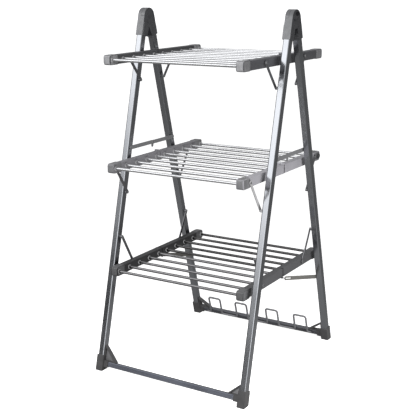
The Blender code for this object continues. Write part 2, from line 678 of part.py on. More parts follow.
def make_spreader(name, way, side, looks, body):
    """Half of the folding spreader. The front half runs beside the leg and carries the finger tab."""
    leg_end = on_leg(way, SPREADER_PIVOT)
    centre = Vector((0, 0, leg_end.z))
    outer = STAY_OUT - (SPREADER_THICKNESS + FIT_GAP if way > 0 else 0.0)
    inner = outer - SPREADER_THICKNESS
    outline = bar_outline((centre.y, centre.z), (leg_end.y, leg_end.z), SPREADER_HALF_WIDTH)
    flat = placing(Vector((0, 0, 0)), Y_AXIS, Z_AXIS, X_AXIS)
    half = piece(name, prisms([(outline, flat, *span(side, inner, outer))]), looks["spreader"], body)
    seat = LEG_IN - FIT_GAP
    leg_fitting = [
        (inner + OVERLAP, RIVET_BOSS_RADIUS),
        (seat, RIVET_BOSS_RADIUS),
        (seat, RIVET_RADIUS),
        (LEG_IN + LEG_WALL + RIVET_TAIL, RIVET_RADIUS),
    ]
    fittings = bmesh.new()
    add_turned(fittings, [(side * s, r) for s, r in leg_fitting], turning(leg_end), BOSS_SIDES)
    if way > 0:
        head = [(inner - RIVET_HEAD_HEIGHT, RIVET_BOSS_RADIUS), (inner + OVERLAP, RIVET_BOSS_RADIUS)]
        add_turned(fittings, [(side * s, r) for s, r in head], turning(centre), BOSS_SIDES)
    combine(half, "UNION", fittings)
    if way < 0:
        tab_end = (centre.y, centre.z - SPREADER_TAB)
        tab = bar_outline((centre.y, centre.z), tab_end, SPREADER_HALF_WIDTH - OVERLAP)
        tab_span = span(side, inner + OVERLAP, outer - OVERLAP)
        combine(half, "UNION", prisms([(tab, flat, *tab_span)]))


def make_stay(name, side, looks, body):
    """Slotted bar from a rear leg to the bottom tier's centre hinge."""
    leg_end = on_leg(WAYS["rear"], STAY_LEG_PIVOT)
    hinge = Vector((0, 0, BOTTOM_HEIGHT - HINGE_TO_RAIL))
    line = (hinge - leg_end).normalized()
    slot_end = hinge - line * STAY_SLOT
    outline = bar_outline((hinge.y, hinge.z), (leg_end.y, leg_end.z), STAY_HALF_WIDTH)
    flat = placing(Vector((0, 0, 0)), Y_AXIS, Z_AXIS, X_AXIS)
    stay = piece(name, prisms([(outline, flat, *span(side, STAY_IN, STAY_OUT))]), looks["strut"], body)
    slot = bar_outline((hinge.y, hinge.z), (slot_end.y, slot_end.z), TIER_PIN_RADIUS + FIT_GAP)
    combine(stay, "DIFFERENCE", prisms([(slot, flat, *span(side, STAY_IN - OVERRUN, STAY_OUT + OVERRUN))]))
    leg_fitting = [
        (STAY_IN + OVERLAP, RIVET_BOSS_RADIUS),
        (LEG_IN - FIT_GAP, RIVET_BOSS_RADIUS),
        (LEG_IN - FIT_GAP, RIVET_RADIUS),
        (LEG_IN + LEG_WALL + RIVET_TAIL, RIVET_RADIUS),
    ]
    rivet = bmesh.new()
    add_turned(rivet, [(side * s, r) for s, r in leg_fitting], turning(leg_end), BOSS_SIDES)
    combine(stay, "UNION", rivet)


def rounded_path(points, radius, steps):
    """Points of a polyline whose corners are rounded to the given radius."""
    path = [points[0]]
    for before, corner, after in zip(points, points[1:], points[2:]):
        back, on = (before - corner).normalized(), (after - corner).normalized()
        half = back.angle(on) / 2
        centre = corner + (back + on).normalized() * (radius / math.sin(half))
        start = corner + back * (radius / math.tan(half)) - centre
        end = corner + on * (radius / math.tan(half)) - centre
        turn = start.angle(end)
        for i in range(steps + 1):
            done = turn * i / steps
            path.append(centre + (start * math.sin(turn - done) + end * math.sin(done)) / math.sin(turn))
    return path + [points[-1]]


def make_shoe_rack(name, looks, body):
    """One bent wire along the front of the rear crossbar with four loops that lean forward."""
    way = WAYS["rear"]
    ahead = CROSSBAR_DEPTH / 2 + RACK_WIRE_RADIUS + FIT_GAP
    base = on_leg(way, CROSSBAR_BELOW_HINGE) - outward(way) * ahead
    rise = Vector((0, -math.sin(RACK_LEAN), math.cos(RACK_LEAN))) * RACK_RISE
    corners = [base + X_AXIS * (RACK_LOOPS[0][0] - RACK_TAIL)]
    for start, end in RACK_LOOPS:
        foot, far_foot = base + X_AXIS * start, base + X_AXIS * end
        corners += [foot, foot + rise, far_foot + rise, far_foot]
    corners.append(base + X_AXIS * (RACK_LOOPS[-1][1] + RACK_TAIL))
    curve = bpy.data.curves.new(name, "CURVE")
    curve.dimensions = "3D"
    curve.bevel_depth = RACK_WIRE_RADIUS
    curve.bevel_resolution = 1
    curve.use_fill_caps = True
    curve.materials.append(looks["wire"])
    route = curve.splines.new("POLY")
    path = [point - place_of(body) for point in rounded_path(corners, RACK_BEND, RACK_BEND_STEPS)]
    route.points.add(len(path) - 1)
    for spot, point in zip(route.points, path):
        spot.co = (*point, 1)
    wire = bpy.data.objects.new(name, curve)
    wire.parent = body
    bpy.context.scene.collection.objects.link(wire)


def make_switch(looks, wing, button_axis):
    """Push switch in an oval bezel on the side of the middle right rail, and the cord gland on its end."""
    switch = placing(Vector((RAIL_OUT + END_CAP_PROUD, SWITCH_PLACE, MIDDLE_HEIGHT)), Y_AXIS, Z_AXIS, X_AXIS)
    mesh = bmesh.new()
    outer = oval(BEZEL_HALF_LENGTH, BEZEL_HALF_HEIGHT)
    inner = oval(BUTTON_HALF_LENGTH + FIT_GAP, BUTTON_HALF_HEIGHT + FIT_GAP)
    add_tube(mesh, outer, inner, switch, FIT_GAP, FIT_GAP + BEZEL_HEIGHT)
    piece("switch_bezel", mesh, looks["cap"], wing)
    knob = oval(BUTTON_HALF_LENGTH, BUTTON_HALF_HEIGHT)
    mesh = prisms([(knob, switch, BUTTON_REST, BUTTON_REST + BUTTON_HEIGHT)])
    piece("switch_button", mesh, looks["button"], button_axis)
    gland = placing(Vector((RAIL_MIDDLE, RAIL_LENGTH, MIDDLE_HEIGHT)), X_AXIS, Z_AXIS, Y_AXIS)
    collar_end = FIT_GAP + GLAND_COLLAR_LENGTH
    profile = [
        (FIT_GAP, GLAND_COLLAR_RADIUS),
        (collar_end, GLAND_COLLAR_RADIUS),
        (collar_end, GLAND_RADIUS),
        (FIT_GAP + GLAND_LENGTH, GLAND_RADIUS),
    ]
    mesh = bmesh.new()
    add_turned(mesh, profile, gland, BOSS_SIDES)
    piece("cord_gland", mesh, looks["cap"], wing)


def make_looks():
    """Materials of the pieces."""
    return {
        "leg": material("leg_grey", (0.30, 0.31, 0.33), 0.35, 0.6),
        "crossbar": material("crossbar_grey", (0.13, 0.14, 0.16), 0.4, 0.5),
        "foot": material("foot_plastic", (0.06, 0.06, 0.065), 0.5, 0.0),
        "cap": material("cap_plastic", (0.12, 0.12, 0.13), 0.45, 0.0),
        "top_rail": material("top_rail_grey", (0.25, 0.25, 0.27), 0.4, 0.4),
        "middle_rail": material("middle_rail_grey", (0.22, 0.22, 0.24), 0.4, 0.4),
        "bottom_rail": material("bottom_rail_grey", (0.12, 0.115, 0.12), 0.45, 0.4),
        "top_bar": material("top_bar_aluminium", (0.75, 0.76, 0.78), 0.25, 1.0),
        "middle_bar": material("middle_bar_aluminium", (0.72, 0.73, 0.75), 0.25, 1.0),
        "bottom_bar": material("bottom_bar_aluminium", (0.35, 0.35, 0.36), 0.3, 1.0),
        "core": material("core_silicone", (0.55, 0.20, 0.12), 0.6, 0.0),
        "strut": material("strut_steel", (0.16, 0.16, 0.17), 0.35, 0.8),
        "spreader": material("spreader_steel", (0.20, 0.20, 0.21), 0.35, 0.8),
        "wire": material("rack_wire_steel", (0.20, 0.20, 0.22), 0.35, 0.8),
        "button": material("button_plastic", (0.03, 0.03, 0.03), 0.3, 0.0),
    }


def make_frame(looks, bodies):
    """Legs, feet, hinge caps and crossbars of the front and the rear frame."""
    for way_name, way in WAYS.items():
        body = bodies[f"{way_name}_frame"]
        make_crossbar(f"{way_name}_crossbar", way, looks, body)
        for side_name, side in SIDES.items():
            place = f"{way_name}_{side_name}"
            make_leg(f"{place}_leg", way, side, looks, body)
            make_foot(f"{place}_foot", way, side, looks, body)
            make_hinge_cap(f"{place}_hinge_cap", way, side, looks, body)
    make_shoe_rack("shoe_rack_wire", looks, bodies["rear_frame"])


def make_tier(tier, looks, bodies):
    """Struts and both wings of one tier, on their own axes."""
    height, rail_pivot, leg_pivot, above = TIERS[tier]
    front, rear = WAYS["front"], WAYS["rear"]
    hinge = Vector((0, 0, height + above * HINGE_TO_RAIL))
    struts = {
        "front": axis(f"{tier}_front_strut_axis", on_leg(front, leg_pivot), bodies["front_frame"]),
        "rear": axis(f"{tier}_rear_strut_axis", on_leg(rear, leg_pivot), bodies["rear_frame"]),
    }
    front_wing = axis(f"{tier}_front_wing_axis", Vector((0, front * rail_pivot, height)), struts["front"])
    wings = {"front": front_wing, "rear": axis(f"{tier}_rear_wing_axis", hinge, front_wing)}
    for way_name, way in WAYS.items():
        make_bars(f"{tier}_{way_name}_bars", tier, way, looks, wings[way_name])
        make_cores(f"{tier}_{way_name}_heating_cores", tier, way, looks, wings[way_name])
        for side_name, side in SIDES.items():
            place = f"{tier}_{way_name}_{side_name}"
            make_rail(f"{place}_rail", tier, way, side, looks, wings[way_name])
            make_strut(f"{place}_strut", tier, way, side, looks, struts[way_name])
    return wings


def make_links(looks, bodies):
    """Spreader halves and bottom stays, each on its pivot at a leg."""
    for way_name, way in WAYS.items():
        pivot = axis(f"{way_name}_spreader_axis", on_leg(way, SPREADER_PIVOT), bodies[f"{way_name}_frame"])
        for side_name, side in SIDES.items():
            make_spreader(f"{way_name}_{side_name}_spreader", way, side, looks, pivot)
    pivot = axis("bottom_stay_axis", on_leg(WAYS["rear"], STAY_LEG_PIVOT), bodies["rear_frame"])
    for side_name, side in SIDES.items():
        make_stay(f"bottom_{side_name}_stay", side, looks, pivot)


def main():
    """Clears the scene and builds the airer."""
    for old in list(bpy.data.objects):
        bpy.data.objects.remove(old)
    looks = make_looks()
    front_frame = axis("front_frame_axis", Vector((0, 0, 0)))
    bodies = {"front_frame": front_frame, "rear_frame": axis("rear_frame_axis", HINGE.copy(), front_frame)}
    make_frame(looks, bodies)
    wings = {tier: make_tier(tier, looks, bodies) for tier in TIERS}
    make_links(looks, bodies)
    rear_wing = wings["middle"]["rear"]
    button_place = Vector((RAIL_OUT + END_CAP_PROUD + BUTTON_REST, SWITCH_PLACE, MIDDLE_HEIGHT))
    make_switch(looks, rear_wing, axis("switch_button_axis", button_place, rear_wing))


main()
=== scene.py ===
# %% [markdown]
# # A heated clothes airer
#
# The object is a folding frame of two hinged pairs of legs. It carries three tiers of aluminium bars
# with a heating wire inside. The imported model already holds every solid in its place, so this scene
# only gives each piece its finished surface: round bars, soft edges, brushed metal, moulded plastic.
# Everything is in metres. X runs across the front, the front faces -Y, and the floor is at Z = 0.

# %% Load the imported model
import json
import math

import bmesh
import bpy
import numpy as np
from mathutils import Matrix, Vector


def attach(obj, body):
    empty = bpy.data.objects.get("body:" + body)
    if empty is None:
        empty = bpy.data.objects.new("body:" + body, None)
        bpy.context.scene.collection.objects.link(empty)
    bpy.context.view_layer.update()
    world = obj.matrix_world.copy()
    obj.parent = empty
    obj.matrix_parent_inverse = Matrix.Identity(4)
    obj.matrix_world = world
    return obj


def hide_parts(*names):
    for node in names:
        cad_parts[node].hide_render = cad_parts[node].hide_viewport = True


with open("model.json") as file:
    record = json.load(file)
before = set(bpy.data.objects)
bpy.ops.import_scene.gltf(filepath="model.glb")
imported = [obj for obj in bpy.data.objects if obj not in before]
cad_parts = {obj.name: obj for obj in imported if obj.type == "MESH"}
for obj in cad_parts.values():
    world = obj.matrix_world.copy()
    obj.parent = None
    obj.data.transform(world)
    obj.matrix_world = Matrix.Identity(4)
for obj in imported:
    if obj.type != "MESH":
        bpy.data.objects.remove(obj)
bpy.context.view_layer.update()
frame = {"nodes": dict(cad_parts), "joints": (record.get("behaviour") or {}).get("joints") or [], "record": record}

# %% [markdown]
# ## The camera
#
# A camera is three turns, a place and a focal length. These come from lines of the frame that were
# measured in the photograph and fitted by least squares. The focal length is known in pixels of a frame
# 416 pixels wide, so it is scaled to the sensor's 36 mm. The small shift moves the picture's centre to
# where the fitted lens has its axis.

# %% Place the camera
FRAME_PIXELS = 416
FOCAL_PIXELS = 896.55
AXIS_PIXEL = (208.64, 202.21)
SENSOR = 36
CAMERA_PLACE = (1.9322, -3.2297, 1.6421)
YAW, PITCH, ROLL = (math.radians(turn) for turn in (31.449, -14.024, -0.457))


def camera_axes(yaw, pitch, roll):
    """Right, up and back directions: yaw turns about Z, pitch tips the view, roll turns the picture."""
    ahead = np.array([-math.sin(yaw) * math.cos(pitch), math.cos(yaw) * math.cos(pitch), math.sin(pitch)])
    level = np.array([math.cos(yaw), math.sin(yaw), 0])
    upright = np.cross(level, ahead)
    right = math.cos(roll) * level + math.sin(roll) * upright
    up = -math.sin(roll) * level + math.cos(roll) * upright
    return right, up, -ahead


lens = bpy.data.cameras.new("photo_lens")
lens.sensor_width = SENSOR
lens.lens = FOCAL_PIXELS / FRAME_PIXELS * SENSOR
lens.shift_x = (FRAME_PIXELS / 2 - AXIS_PIXEL[0]) / FRAME_PIXELS
lens.shift_y = (AXIS_PIXEL[1] - FRAME_PIXELS / 2) / FRAME_PIXELS
camera = bpy.data.objects.new("photo_camera", lens)
stand = np.eye(4)
stand[:3, :3] = np.stack(camera_axes(YAW, PITCH, ROLL), -1)
stand[:3, 3] = CAMERA_PLACE
camera.matrix_world = Matrix(stand.tolist())
bpy.context.scene.collection.objects.link(camera)
bpy.context.scene.camera = camera
print("lens:", round(lens.lens, 2), "mm")

# %% [markdown]
# ## Grids, lofts and rings
#
# Most of these pieces are one section carried along a line: a leg, a bar, a rivet, a wire. So one helper
# is enough for nearly all of them. It takes a grid of points, one row for each place along the line,
# joins neighbours with four-sided faces and closes both ends. A second helper joins the last row to the
# first, which makes a ring.

# %% Skins over grids of points


def quads(rows, columns, closed):
    """Faces of a grid. Face (i, j) joins points (i, j), (i, j+1), (i+1, j+1) and (i+1, j), and the last
    column meets the first. In a closed grid the last row meets the first as well."""
    i, j = np.meshgrid(np.arange(rows if closed else rows - 1), np.arange(columns), indexing="ij")
    below, after = (i + 1) % rows, (j + 1) % columns
    corners = [i * columns + j, i * columns + after, below * columns + after, below * columns + j]
    return np.stack(corners, -1).reshape(-1, 4)


def loft(rings):
    """Closed skin over rings of points, an array (ring, point, 3), with a flat face on both ends. A skin is
    its points and its groups of faces, and all faces of a group have the same number of corners."""
    rows, columns = rings.shape[:2]
    first = np.arange(columns)
    ends = np.stack([first[::-1], first + (rows - 1) * columns])
    return rings.reshape(-1, 3), [quads(rows, columns, False), ends]


def ring(rings):
    """Closed skin like a tyre: the last ring of points meets the first."""
    rows, columns = rings.shape[:2]
    return rings.reshape(-1, 3), [quads(rows, columns, True)]


def piece(name, skins, finish, body, replaced=(), sharp=38):
    """One object from closed skins. It rides on a body, and may stand for solids of the model. A face's
    first corner lies at the sum of the corners of all faces before it."""
    starts = np.cumsum([0] + [len(points) for points, _ in skins])
    points = np.concatenate([points for points, _ in skins])
    groups = [group + start for (_, some), start in zip(skins, starts) for group in some]
    corners = np.concatenate([group.ravel() for group in groups])
    counts = np.concatenate([np.full(len(group), group.shape[1]) for group in groups])
    mesh = bpy.data.meshes.new(name)
    mesh.vertices.add(len(points))
    mesh.vertices.foreach_set("co", points.ravel().astype(np.float32))
    mesh.loops.add(len(corners))
    mesh.loops.foreach_set("vertex_index", corners.astype(np.int32))
    mesh.polygons.add(len(counts))
    mesh.polygons.foreach_set("loop_start", (np.cumsum(counts) - counts).astype(np.int32))
    mesh.update(calc_edges=True)
    return dressed(name, mesh, finish, body, replaced, sharp)


def dressed(name, mesh, finish, body, replaced, sharp):
    """Turns the faces outwards, smooths all but the sharp edges and gives the mesh its finish and body."""
    work = bmesh.new()
    work.from_mesh(mesh)
    bmesh.ops.recalc_face_normals(work, faces=work.faces)
    work.to_mesh(mesh)
    work.free()
    mesh.shade_smooth()
    mesh.set_sharp_from_angle(angle=math.radians(sharp))
    mesh.materials.append(finish)
    made = bpy.data.objects.new(name, mesh)
    bpy.context.scene.collection.objects.link(made)
    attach(made, body)
    if replaced:
        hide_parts(*replaced)
    return made


# %% [markdown]
# ## Sections
#
# An extruded aluminium tube has round corners, and their highlights tell the eye that it is metal. So
# the sections here are rectangles with true quarter circles at the corners, in far more steps than the
# solids have. A row of points just beyond each corner keeps the shading of the flat sides flat.

# %% Outlines
FLAT_RUN = 0.0003


def rounded_rectangle(width, height, radius, steps=7, run=0):
    """Points (n, 2) of a rectangle whose corners are quarter circles, anticlockwise from the right. With a
    run, each arc has one more point beyond both of its ends, that far along the straight side, so that the
    smooth shading of the corner ends there and the side stays flat."""
    turns = np.arange(4)[:, None] * math.pi / 2 + np.linspace(0, math.pi / 2, steps)[None]
    signs = np.array([[1, 1], [-1, 1], [-1, -1], [1, -1]])
    centres = signs * (np.array([width, height]) / 2 - radius)
    points = centres[:, None] + radius * np.stack([np.cos(turns), np.sin(turns)], -1)
    if run:
        ahead = run * np.stack([-np.sin(turns), np.cos(turns)], -1)
        first, last = points[:, :1] - ahead[:, :1], points[:, -1:] + ahead[:, -1:]
        points = np.concatenate([first, points, last], axis=1)
    return points.reshape(-1, 2)


def circle(radius, steps):
    """Points (n, 2) of a circle: (r cos t, r sin t) for t from 0 to a full turn."""
    turns = np.arange(steps) * 2 * math.pi / steps
    return radius * np.stack([np.cos(turns), np.sin(turns)], -1)


def turned(profile, place, side, steps=24):
    """Rings of a piece turned about a line along X through place. Each profile entry is (distance out
    from place, radius), so ring i holds (x + side a, y + r cos t, z + r sin t)."""
    profile = np.asarray(profile, float)
    unit = circle(1, steps)
    across = np.repeat(place[0] + side * profile[:, :1], steps, 1)
    around = np.asarray(place[1:]) + profile[:, 1, None, None] * unit[None]
    return np.concatenate([across[..., None], around], -1)


# %% [markdown]
# ## Finishes
#
# Real aluminium isn't one grey. Drawing it through a die leaves fine lines along its length, the
# anodising clouds it a little, and handling polishes it unevenly. Noise stretched along one axis gives
# the lines, and broad noise gives the clouds. Both change the roughness more than the colour, because
# that is what light shows on metal. Moulded plastic has a fine even grain instead, from the mould.

# %% Node helpers
NOISE_LOW, NOISE_HIGH = 0.3, 0.7


def start_finish(name):
    """New material with its node tree, its Principled shader and its Object coordinates."""
    made = bpy.data.materials.new(name)
    made.use_nodes = True
    tree = made.node_tree
    shader = tree.nodes["Principled BSDF"]
    place = tree.nodes.new("ShaderNodeTexCoord")
    return made, tree, shader, place.outputs["Object"]


def noise(tree, place, scale, detail, stretch=(1, 1, 1), turn=(0, 0, 0)):
    """Noise on Object coordinates. A stretch below 1 along an axis draws the pattern out along it."""
    mapping = tree.nodes.new("ShaderNodeMapping")
    mapping.inputs["Scale"].default_value = stretch
    mapping.inputs["Rotation"].default_value = turn
    pattern = tree.nodes.new("ShaderNodeTexNoise")
    pattern.inputs["Scale"].default_value = scale
    pattern.inputs["Detail"].default_value = detail
    tree.links.new(place, mapping.inputs["Vector"])
    tree.links.new(mapping.outputs["Vector"], pattern.inputs["Vector"])
    return pattern.outputs["Fac"]


def ranged(tree, value, low, high):
    """Maps a noise value from its usual range onto another, by a straight line."""
    node = tree.nodes.new("ShaderNodeMapRange")
    node.inputs["From Min"].default_value = NOISE_LOW
    node.inputs["From Max"].default_value = NOISE_HIGH
    node.inputs["To Min"].default_value = low
    node.inputs["To Max"].default_value = high
    tree.links.new(value, node.inputs["Value"])
    return node.outputs["Result"]


def blended(tree, value, first, second):
    """Colour between two colours, by a noise value."""
    ramp = tree.nodes.new("ShaderNodeValToRGB")
    ramp.color_ramp.elements[0].position = NOISE_LOW
    ramp.color_ramp.elements[1].position = NOISE_HIGH
    ramp.color_ramp.elements[0].color = (*first, 1)
    ramp.color_ramp.elements[1].color = (*second, 1)
    tree.links.new(value, ramp.inputs["Fac"])
    return ramp.outputs["Color"]


def bumped(tree, shader, value, depth, strength):
    """Bump of a given depth in metres on the shader's normal."""
    bump = tree.nodes.new("ShaderNodeBump")
    bump.inputs["Distance"].default_value = depth
    bump.inputs["Strength"].default_value = strength
    tree.links.new(value, bump.inputs["Height"])
    tree.links.new(bump.outputs["Normal"], shader.inputs["Normal"])


def shaded(colour, factor):
    """The colour with each channel multiplied."""
    return tuple(channel * factor for channel in colour)


# %% [markdown]
# ## Drawn metal and moulded plastic
#
# Every finish in this scene is one of two recipes with its own colour and roughness. The scales count
# noise cells in a metre, so 900 gives lines about a millimetre apart, and the depths are real heights in
# metres. Where one kind of metal or plastic is lit differently from place to place, each place has a
# lighter or darker copy of its finish: painted light and shade in the colour.

# %% Two recipes
LINE_SCALE, LINE_DEPTH, LINE_STRENGTH, LINE_SHARE = 900, 0.00006, 0.35, 0.6
CLOUD_SCALE, CLOUD_RANGE, METAL_TINTS = 9, (0.1, 0.3), (0.93, 1.06)
GRAIN_SCALE, GRAIN_DEPTH, GRAIN_STRENGTH = 1400, 0.00008, 0.4
SCUFF_SCALE, SCUFF_SMOOTHER, SCUFF_ROUGHER, PLASTIC_TINTS = 38, 0.07, 0.1, (0.88, 1.14)


def drawn_metal(name, colour, roughness, metallic, stretch, turn=(0, 0, 0), spread=0.08):
    """Metal with fine lines along one axis, where stretch is small, and broad clouds. The roughness
    follows a share of the lines plus the clouds, within a spread to either side."""
    made, tree, shader, place = start_finish(name)
    lines = noise(tree, place, LINE_SCALE, 3, stretch, turn)
    clouds = noise(tree, place, CLOUD_SCALE, 4)
    tint = blended(tree, clouds, *(shaded(colour, share) for share in METAL_TINTS))
    tree.links.new(tint, shader.inputs["Base Color"])
    mixed = tree.nodes.new("ShaderNodeMath")
    mixed.operation = "MULTIPLY_ADD"
    mixed.inputs[1].default_value = LINE_SHARE
    tree.links.new(lines, mixed.inputs[0])
    tree.links.new(ranged(tree, clouds, *CLOUD_RANGE), mixed.inputs[2])
    polish = ranged(tree, mixed.outputs[0], roughness - spread, roughness + spread)
    tree.links.new(polish, shader.inputs["Roughness"])
    shader.inputs["Metallic"].default_value = metallic
    bumped(tree, shader, lines, LINE_DEPTH, LINE_STRENGTH)
    return made


def moulded_plastic(name, colour, roughness, gloss=1.5):
    """Plastic with the fine grain of its mould and faint scuffs, which move the roughness and the colour.
    Gloss is its index of refraction."""
    made, tree, shader, place = start_finish(name)
    fine = noise(tree, place, GRAIN_SCALE, 2)
    scuffs = noise(tree, place, SCUFF_SCALE, 6)
    tint = blended(tree, scuffs, *(shaded(colour, share) for share in PLASTIC_TINTS))
    tree.links.new(tint, shader.inputs["Base Color"])
    polish = ranged(tree, scuffs, roughness - SCUFF_SMOOTHER, roughness + SCUFF_ROUGHER)
    tree.links.new(polish, shader.inputs["Roughness"])
    shader.inputs["IOR"].default_value = gloss
    bumped(tree, shader, fine, GRAIN_DEPTH, GRAIN_STRENGTH)
    return made


# %% [markdown]
# ## One finish for each kind of piece
#
# The legs are polished metal, so their tone comes from the room. The rails and the crossbars are duller,
# and their grey holds painted light and shade: each side of each tier of rails, and each crossbar, has a
# lighter or darker copy of one grey, matched to the photograph.
# The lines run along each tube, and lean with the legs. A pressed link has only a weak grain along it.

# %% The finishes
TILT = math.radians(14.38)
ALONG_X = (0.02, 1, 1)
ALONG_Y = (1, 0.02, 1)
ALONG_Z = (1, 1, 0.02)
PRESSED = (1, 0.15, 0.15)
EVEN = (1, 1, 1)
leg_metal = {
    way: drawn_metal(f"leg_metal_{way}", (0.42, 0.43, 0.45), 0.16, 1, ALONG_Z, (turn, 0, 0), spread=0.04)
    for way, turn in (("front", TILT), ("rear", -TILT))
}
# Painted shade: the rear crossbar has a darker copy of the front crossbar's grey.
crossbar_metal = {
    "front": drawn_metal("front_crossbar_metal", (0.18, 0.19, 0.225), 0.3, 0.85, ALONG_X),
    "rear": drawn_metal("rear_crossbar_metal", (0.14, 0.142, 0.155), 0.3, 0.85, ALONG_X),
}
# Painted light and shade: the rails are one metal, with a lighter or darker grey for each side of each tier; the
# left rails are painted darker.
rail_metal = {
    place: drawn_metal(f"{place}_rail_metal", colour, roughness, metallic, ALONG_Y)
    for place, colour, roughness, metallic in (
        ("top_left", (0.085, 0.085, 0.09), 0.36, 0.6),
        ("top_right", (0.145, 0.145, 0.155), 0.36, 0.6),
        ("middle_left", (0.17, 0.167, 0.178), 0.45, 0.3),
        ("middle_right", (0.32, 0.314, 0.335), 0.45, 0.3),
        ("bottom_left", (0.036, 0.036, 0.037), 0.42, 0.4),
        ("bottom_right", (0.078, 0.078, 0.081), 0.42, 0.4),
    )
}
# Painted light and shade: the bars are one metal, but the bottom tier's bars are painted dark, the rear ones
# darker than the front ones.
bar_metal = {
    place: drawn_metal(f"{place}_bar_metal", colour, roughness, 1, ALONG_X, spread=spread)
    for place, colour, roughness, spread in (
        ("top", (0.80, 0.80, 0.81), 0.22, 0.06),
        ("middle", (0.78, 0.78, 0.79), 0.22, 0.06),
        ("bottom", (0.11, 0.108, 0.108), 0.2, 0.05),
        ("bottom_front", (0.27, 0.265, 0.27), 0.16, 0.05),
    )
}
link_steel = drawn_metal("link_steel", (0.26, 0.26, 0.27), 0.34, 0.9, PRESSED)
# Painted light: a lighter, less metallic copy of the link steel for one strut, where it catches the light.
painted_light_link_steel = drawn_metal("painted_light_link_steel", (0.42, 0.415, 0.42), 0.4, 0.4, PRESSED)
spreader_steel = drawn_metal("spreader_steel", (0.17, 0.17, 0.175), 0.45, 0.3, PRESSED)
painted_link_steel = drawn_metal("painted_link_steel", (0.10, 0.097, 0.09), 0.5, 0.2, PRESSED)
rivet_steel = drawn_metal("rivet_steel", (0.62, 0.62, 0.63), 0.22, 1, EVEN)
wire_paint = drawn_metal("wire_paint", (0.185, 0.185, 0.195), 0.38, 0.5, EVEN)
cap_plastic = moulded_plastic("cap_plastic", (0.034, 0.035, 0.038), 0.26, 2.1)
# Painted shade: near-black plastic for the dark moulding, screw hole and wedge of the hinge caps.
painted_recess_shade = moulded_plastic("painted_recess_shade", (0.012, 0.012, 0.014), 0.6, 1.3)
foot_plastic = moulded_plastic("foot_plastic", (0.048, 0.047, 0.048), 0.42)
# Painted shade: the left gusset web is a darker copy of the right one.
web_plastic = {
    side: moulded_plastic(f"{side}_web_plastic", (grey, grey, grey * 1.03), 0.5)
    for side, grey in (("left", 0.10), ("right", 0.2))
}
# Painted light and shade: the end caps are one plastic, lighter on the top tier and darker lower down.
end_plastic = {
    tier: moulded_plastic(f"{tier}_end_plastic", (grey, grey, grey * 1.03), 0.36)
    for tier, grey in (("top", 0.165), ("middle", 0.115), ("bottom", 0.075))
}
collar_plastic = moulded_plastic("collar_plastic", (0.28, 0.28, 0.285), 0.4)
button_plastic = moulded_plastic("button_plastic", (0.03, 0.03, 0.032), 0.28)
core_silicone = moulded_plastic("core_silicone", (0.42, 0.12, 0.06), 0.6)
print("finishes:", len(bpy.data.materials))

# %% [markdown]
# ## The legs
#
# Each leg is a rectangular aluminium tube that leans from the main hinge at the top to a foot. A leg has
# its own two axes: out, square to it and away from the folding plane, and down along it. The section is
# drawn across those axes and carried down, so both pairs of legs come from one formula with a sign. The
# tube starts below the hinge's line, inside the cap, and ends a little above the floor, inside the foot.

# %% Legs as lofts
HINGE_HEIGHT = 1.485
LEG_WIDTH, LEG_DEPTH, LEG_CORNER = 0.0286, 0.0309, 0.0046
HALF_WIDTH, FOLD_GAP, LEG_TOP, SOLE = 0.365, 0.0042, 0.0402, 0.0121
LEG_MIDDLE = HALF_WIDTH - LEG_WIDTH / 2
LEG_OFFSET = FOLD_GAP + LEG_DEPTH / 2
SIDES = {"left": -1, "right": 1}
WAYS = {"front": -1, "rear": 1}
FLOOR_BELOW = (HINGE_HEIGHT + LEG_OFFSET * math.sin(TILT)) / math.cos(TILT)


def leg_space(way, across, out, down):
    """World points from a leg's own axes: (x, way (out cos t + down sin t), h + out sin t - down cos t),
    where t is the leg's tilt and h the hinge's height."""
    y = way * (out * math.cos(TILT) + down * math.sin(TILT))
    z = HINGE_HEIGHT + out * math.sin(TILT) - down * math.cos(TILT)
    return np.stack(np.broadcast_arrays(across, y, z), -1)


section = rounded_rectangle(LEG_WIDTH, LEG_DEPTH, LEG_CORNER, 9, FLAT_RUN)
stations = np.linspace(LEG_TOP, FLOOR_BELOW - SOLE, 25)
for way_name, way in WAYS.items():
    for side_name, side in SIDES.items():
        across = side * LEG_MIDDLE + section[None, :, 0]
        rings = leg_space(way, across, LEG_OFFSET + section[None, :, 1], stations[:, None])
        node = f"{way_name}_{side_name}_leg"
        piece(f"{node}_tube", [loft(rings)], leg_metal[way_name], f"{way_name}_frame", [node])
print("leg length:", round(stations[-1] - stations[0], 3))

# %% [markdown]
# ## The crossbars
#
# A flatter tube joins the two feet of each pair of legs. It lies in the leg's own plane, so it uses the
# same axes with the section turned: its points run along X instead of down the leg.

# %% Crossbars
CROSSBAR_HEIGHT, CROSSBAR_DEPTH, CROSSBAR_CORNER = 0.0215, 0.020, 0.0024
CROSSBAR_RISE, CROSSBAR_END = 0.028, 0.3290
crossbar_down = FLOOR_BELOW - CROSSBAR_RISE / math.cos(TILT)
section = rounded_rectangle(CROSSBAR_DEPTH, CROSSBAR_HEIGHT, CROSSBAR_CORNER, 7, FLAT_RUN)
across = np.linspace(-CROSSBAR_END, CROSSBAR_END, 13)
for way_name, way in WAYS.items():
    rings = leg_space(
        way, across[:, None], LEG_OFFSET + section[None, :, 0], crossbar_down + section[None, :, 1]
    )
    node = f"{way_name}_crossbar"
    piece(f"{node}_tube", [loft(rings)], crossbar_metal[way_name], f"{way_name}_frame", [node])
print("crossbar length:", 2 * CROSSBAR_END)

# %% [markdown]
# ## Soft edges on the moulded and pressed pieces
#
# The hinge caps, the feet, the rails and the flat links already have the right shape as solids, but
# every edge of a solid is a knife edge. A moulding or a pressing never is. So each of these is copied,
# its loose triangles are welded, flat neighbours are joined to one face, and a small bevel rounds the
# edges that are left. The bevel is what catches the light.

# %% Copy a solid and round its edges
CAP_BEVEL, FOOT_BEVEL, METAL_BEVEL = 0.0009, 0.0008, 0.0005
FLAT_ANGLE, BEVEL_ANGLE, SOLID_SHARP = math.radians(1), math.radians(35), 30


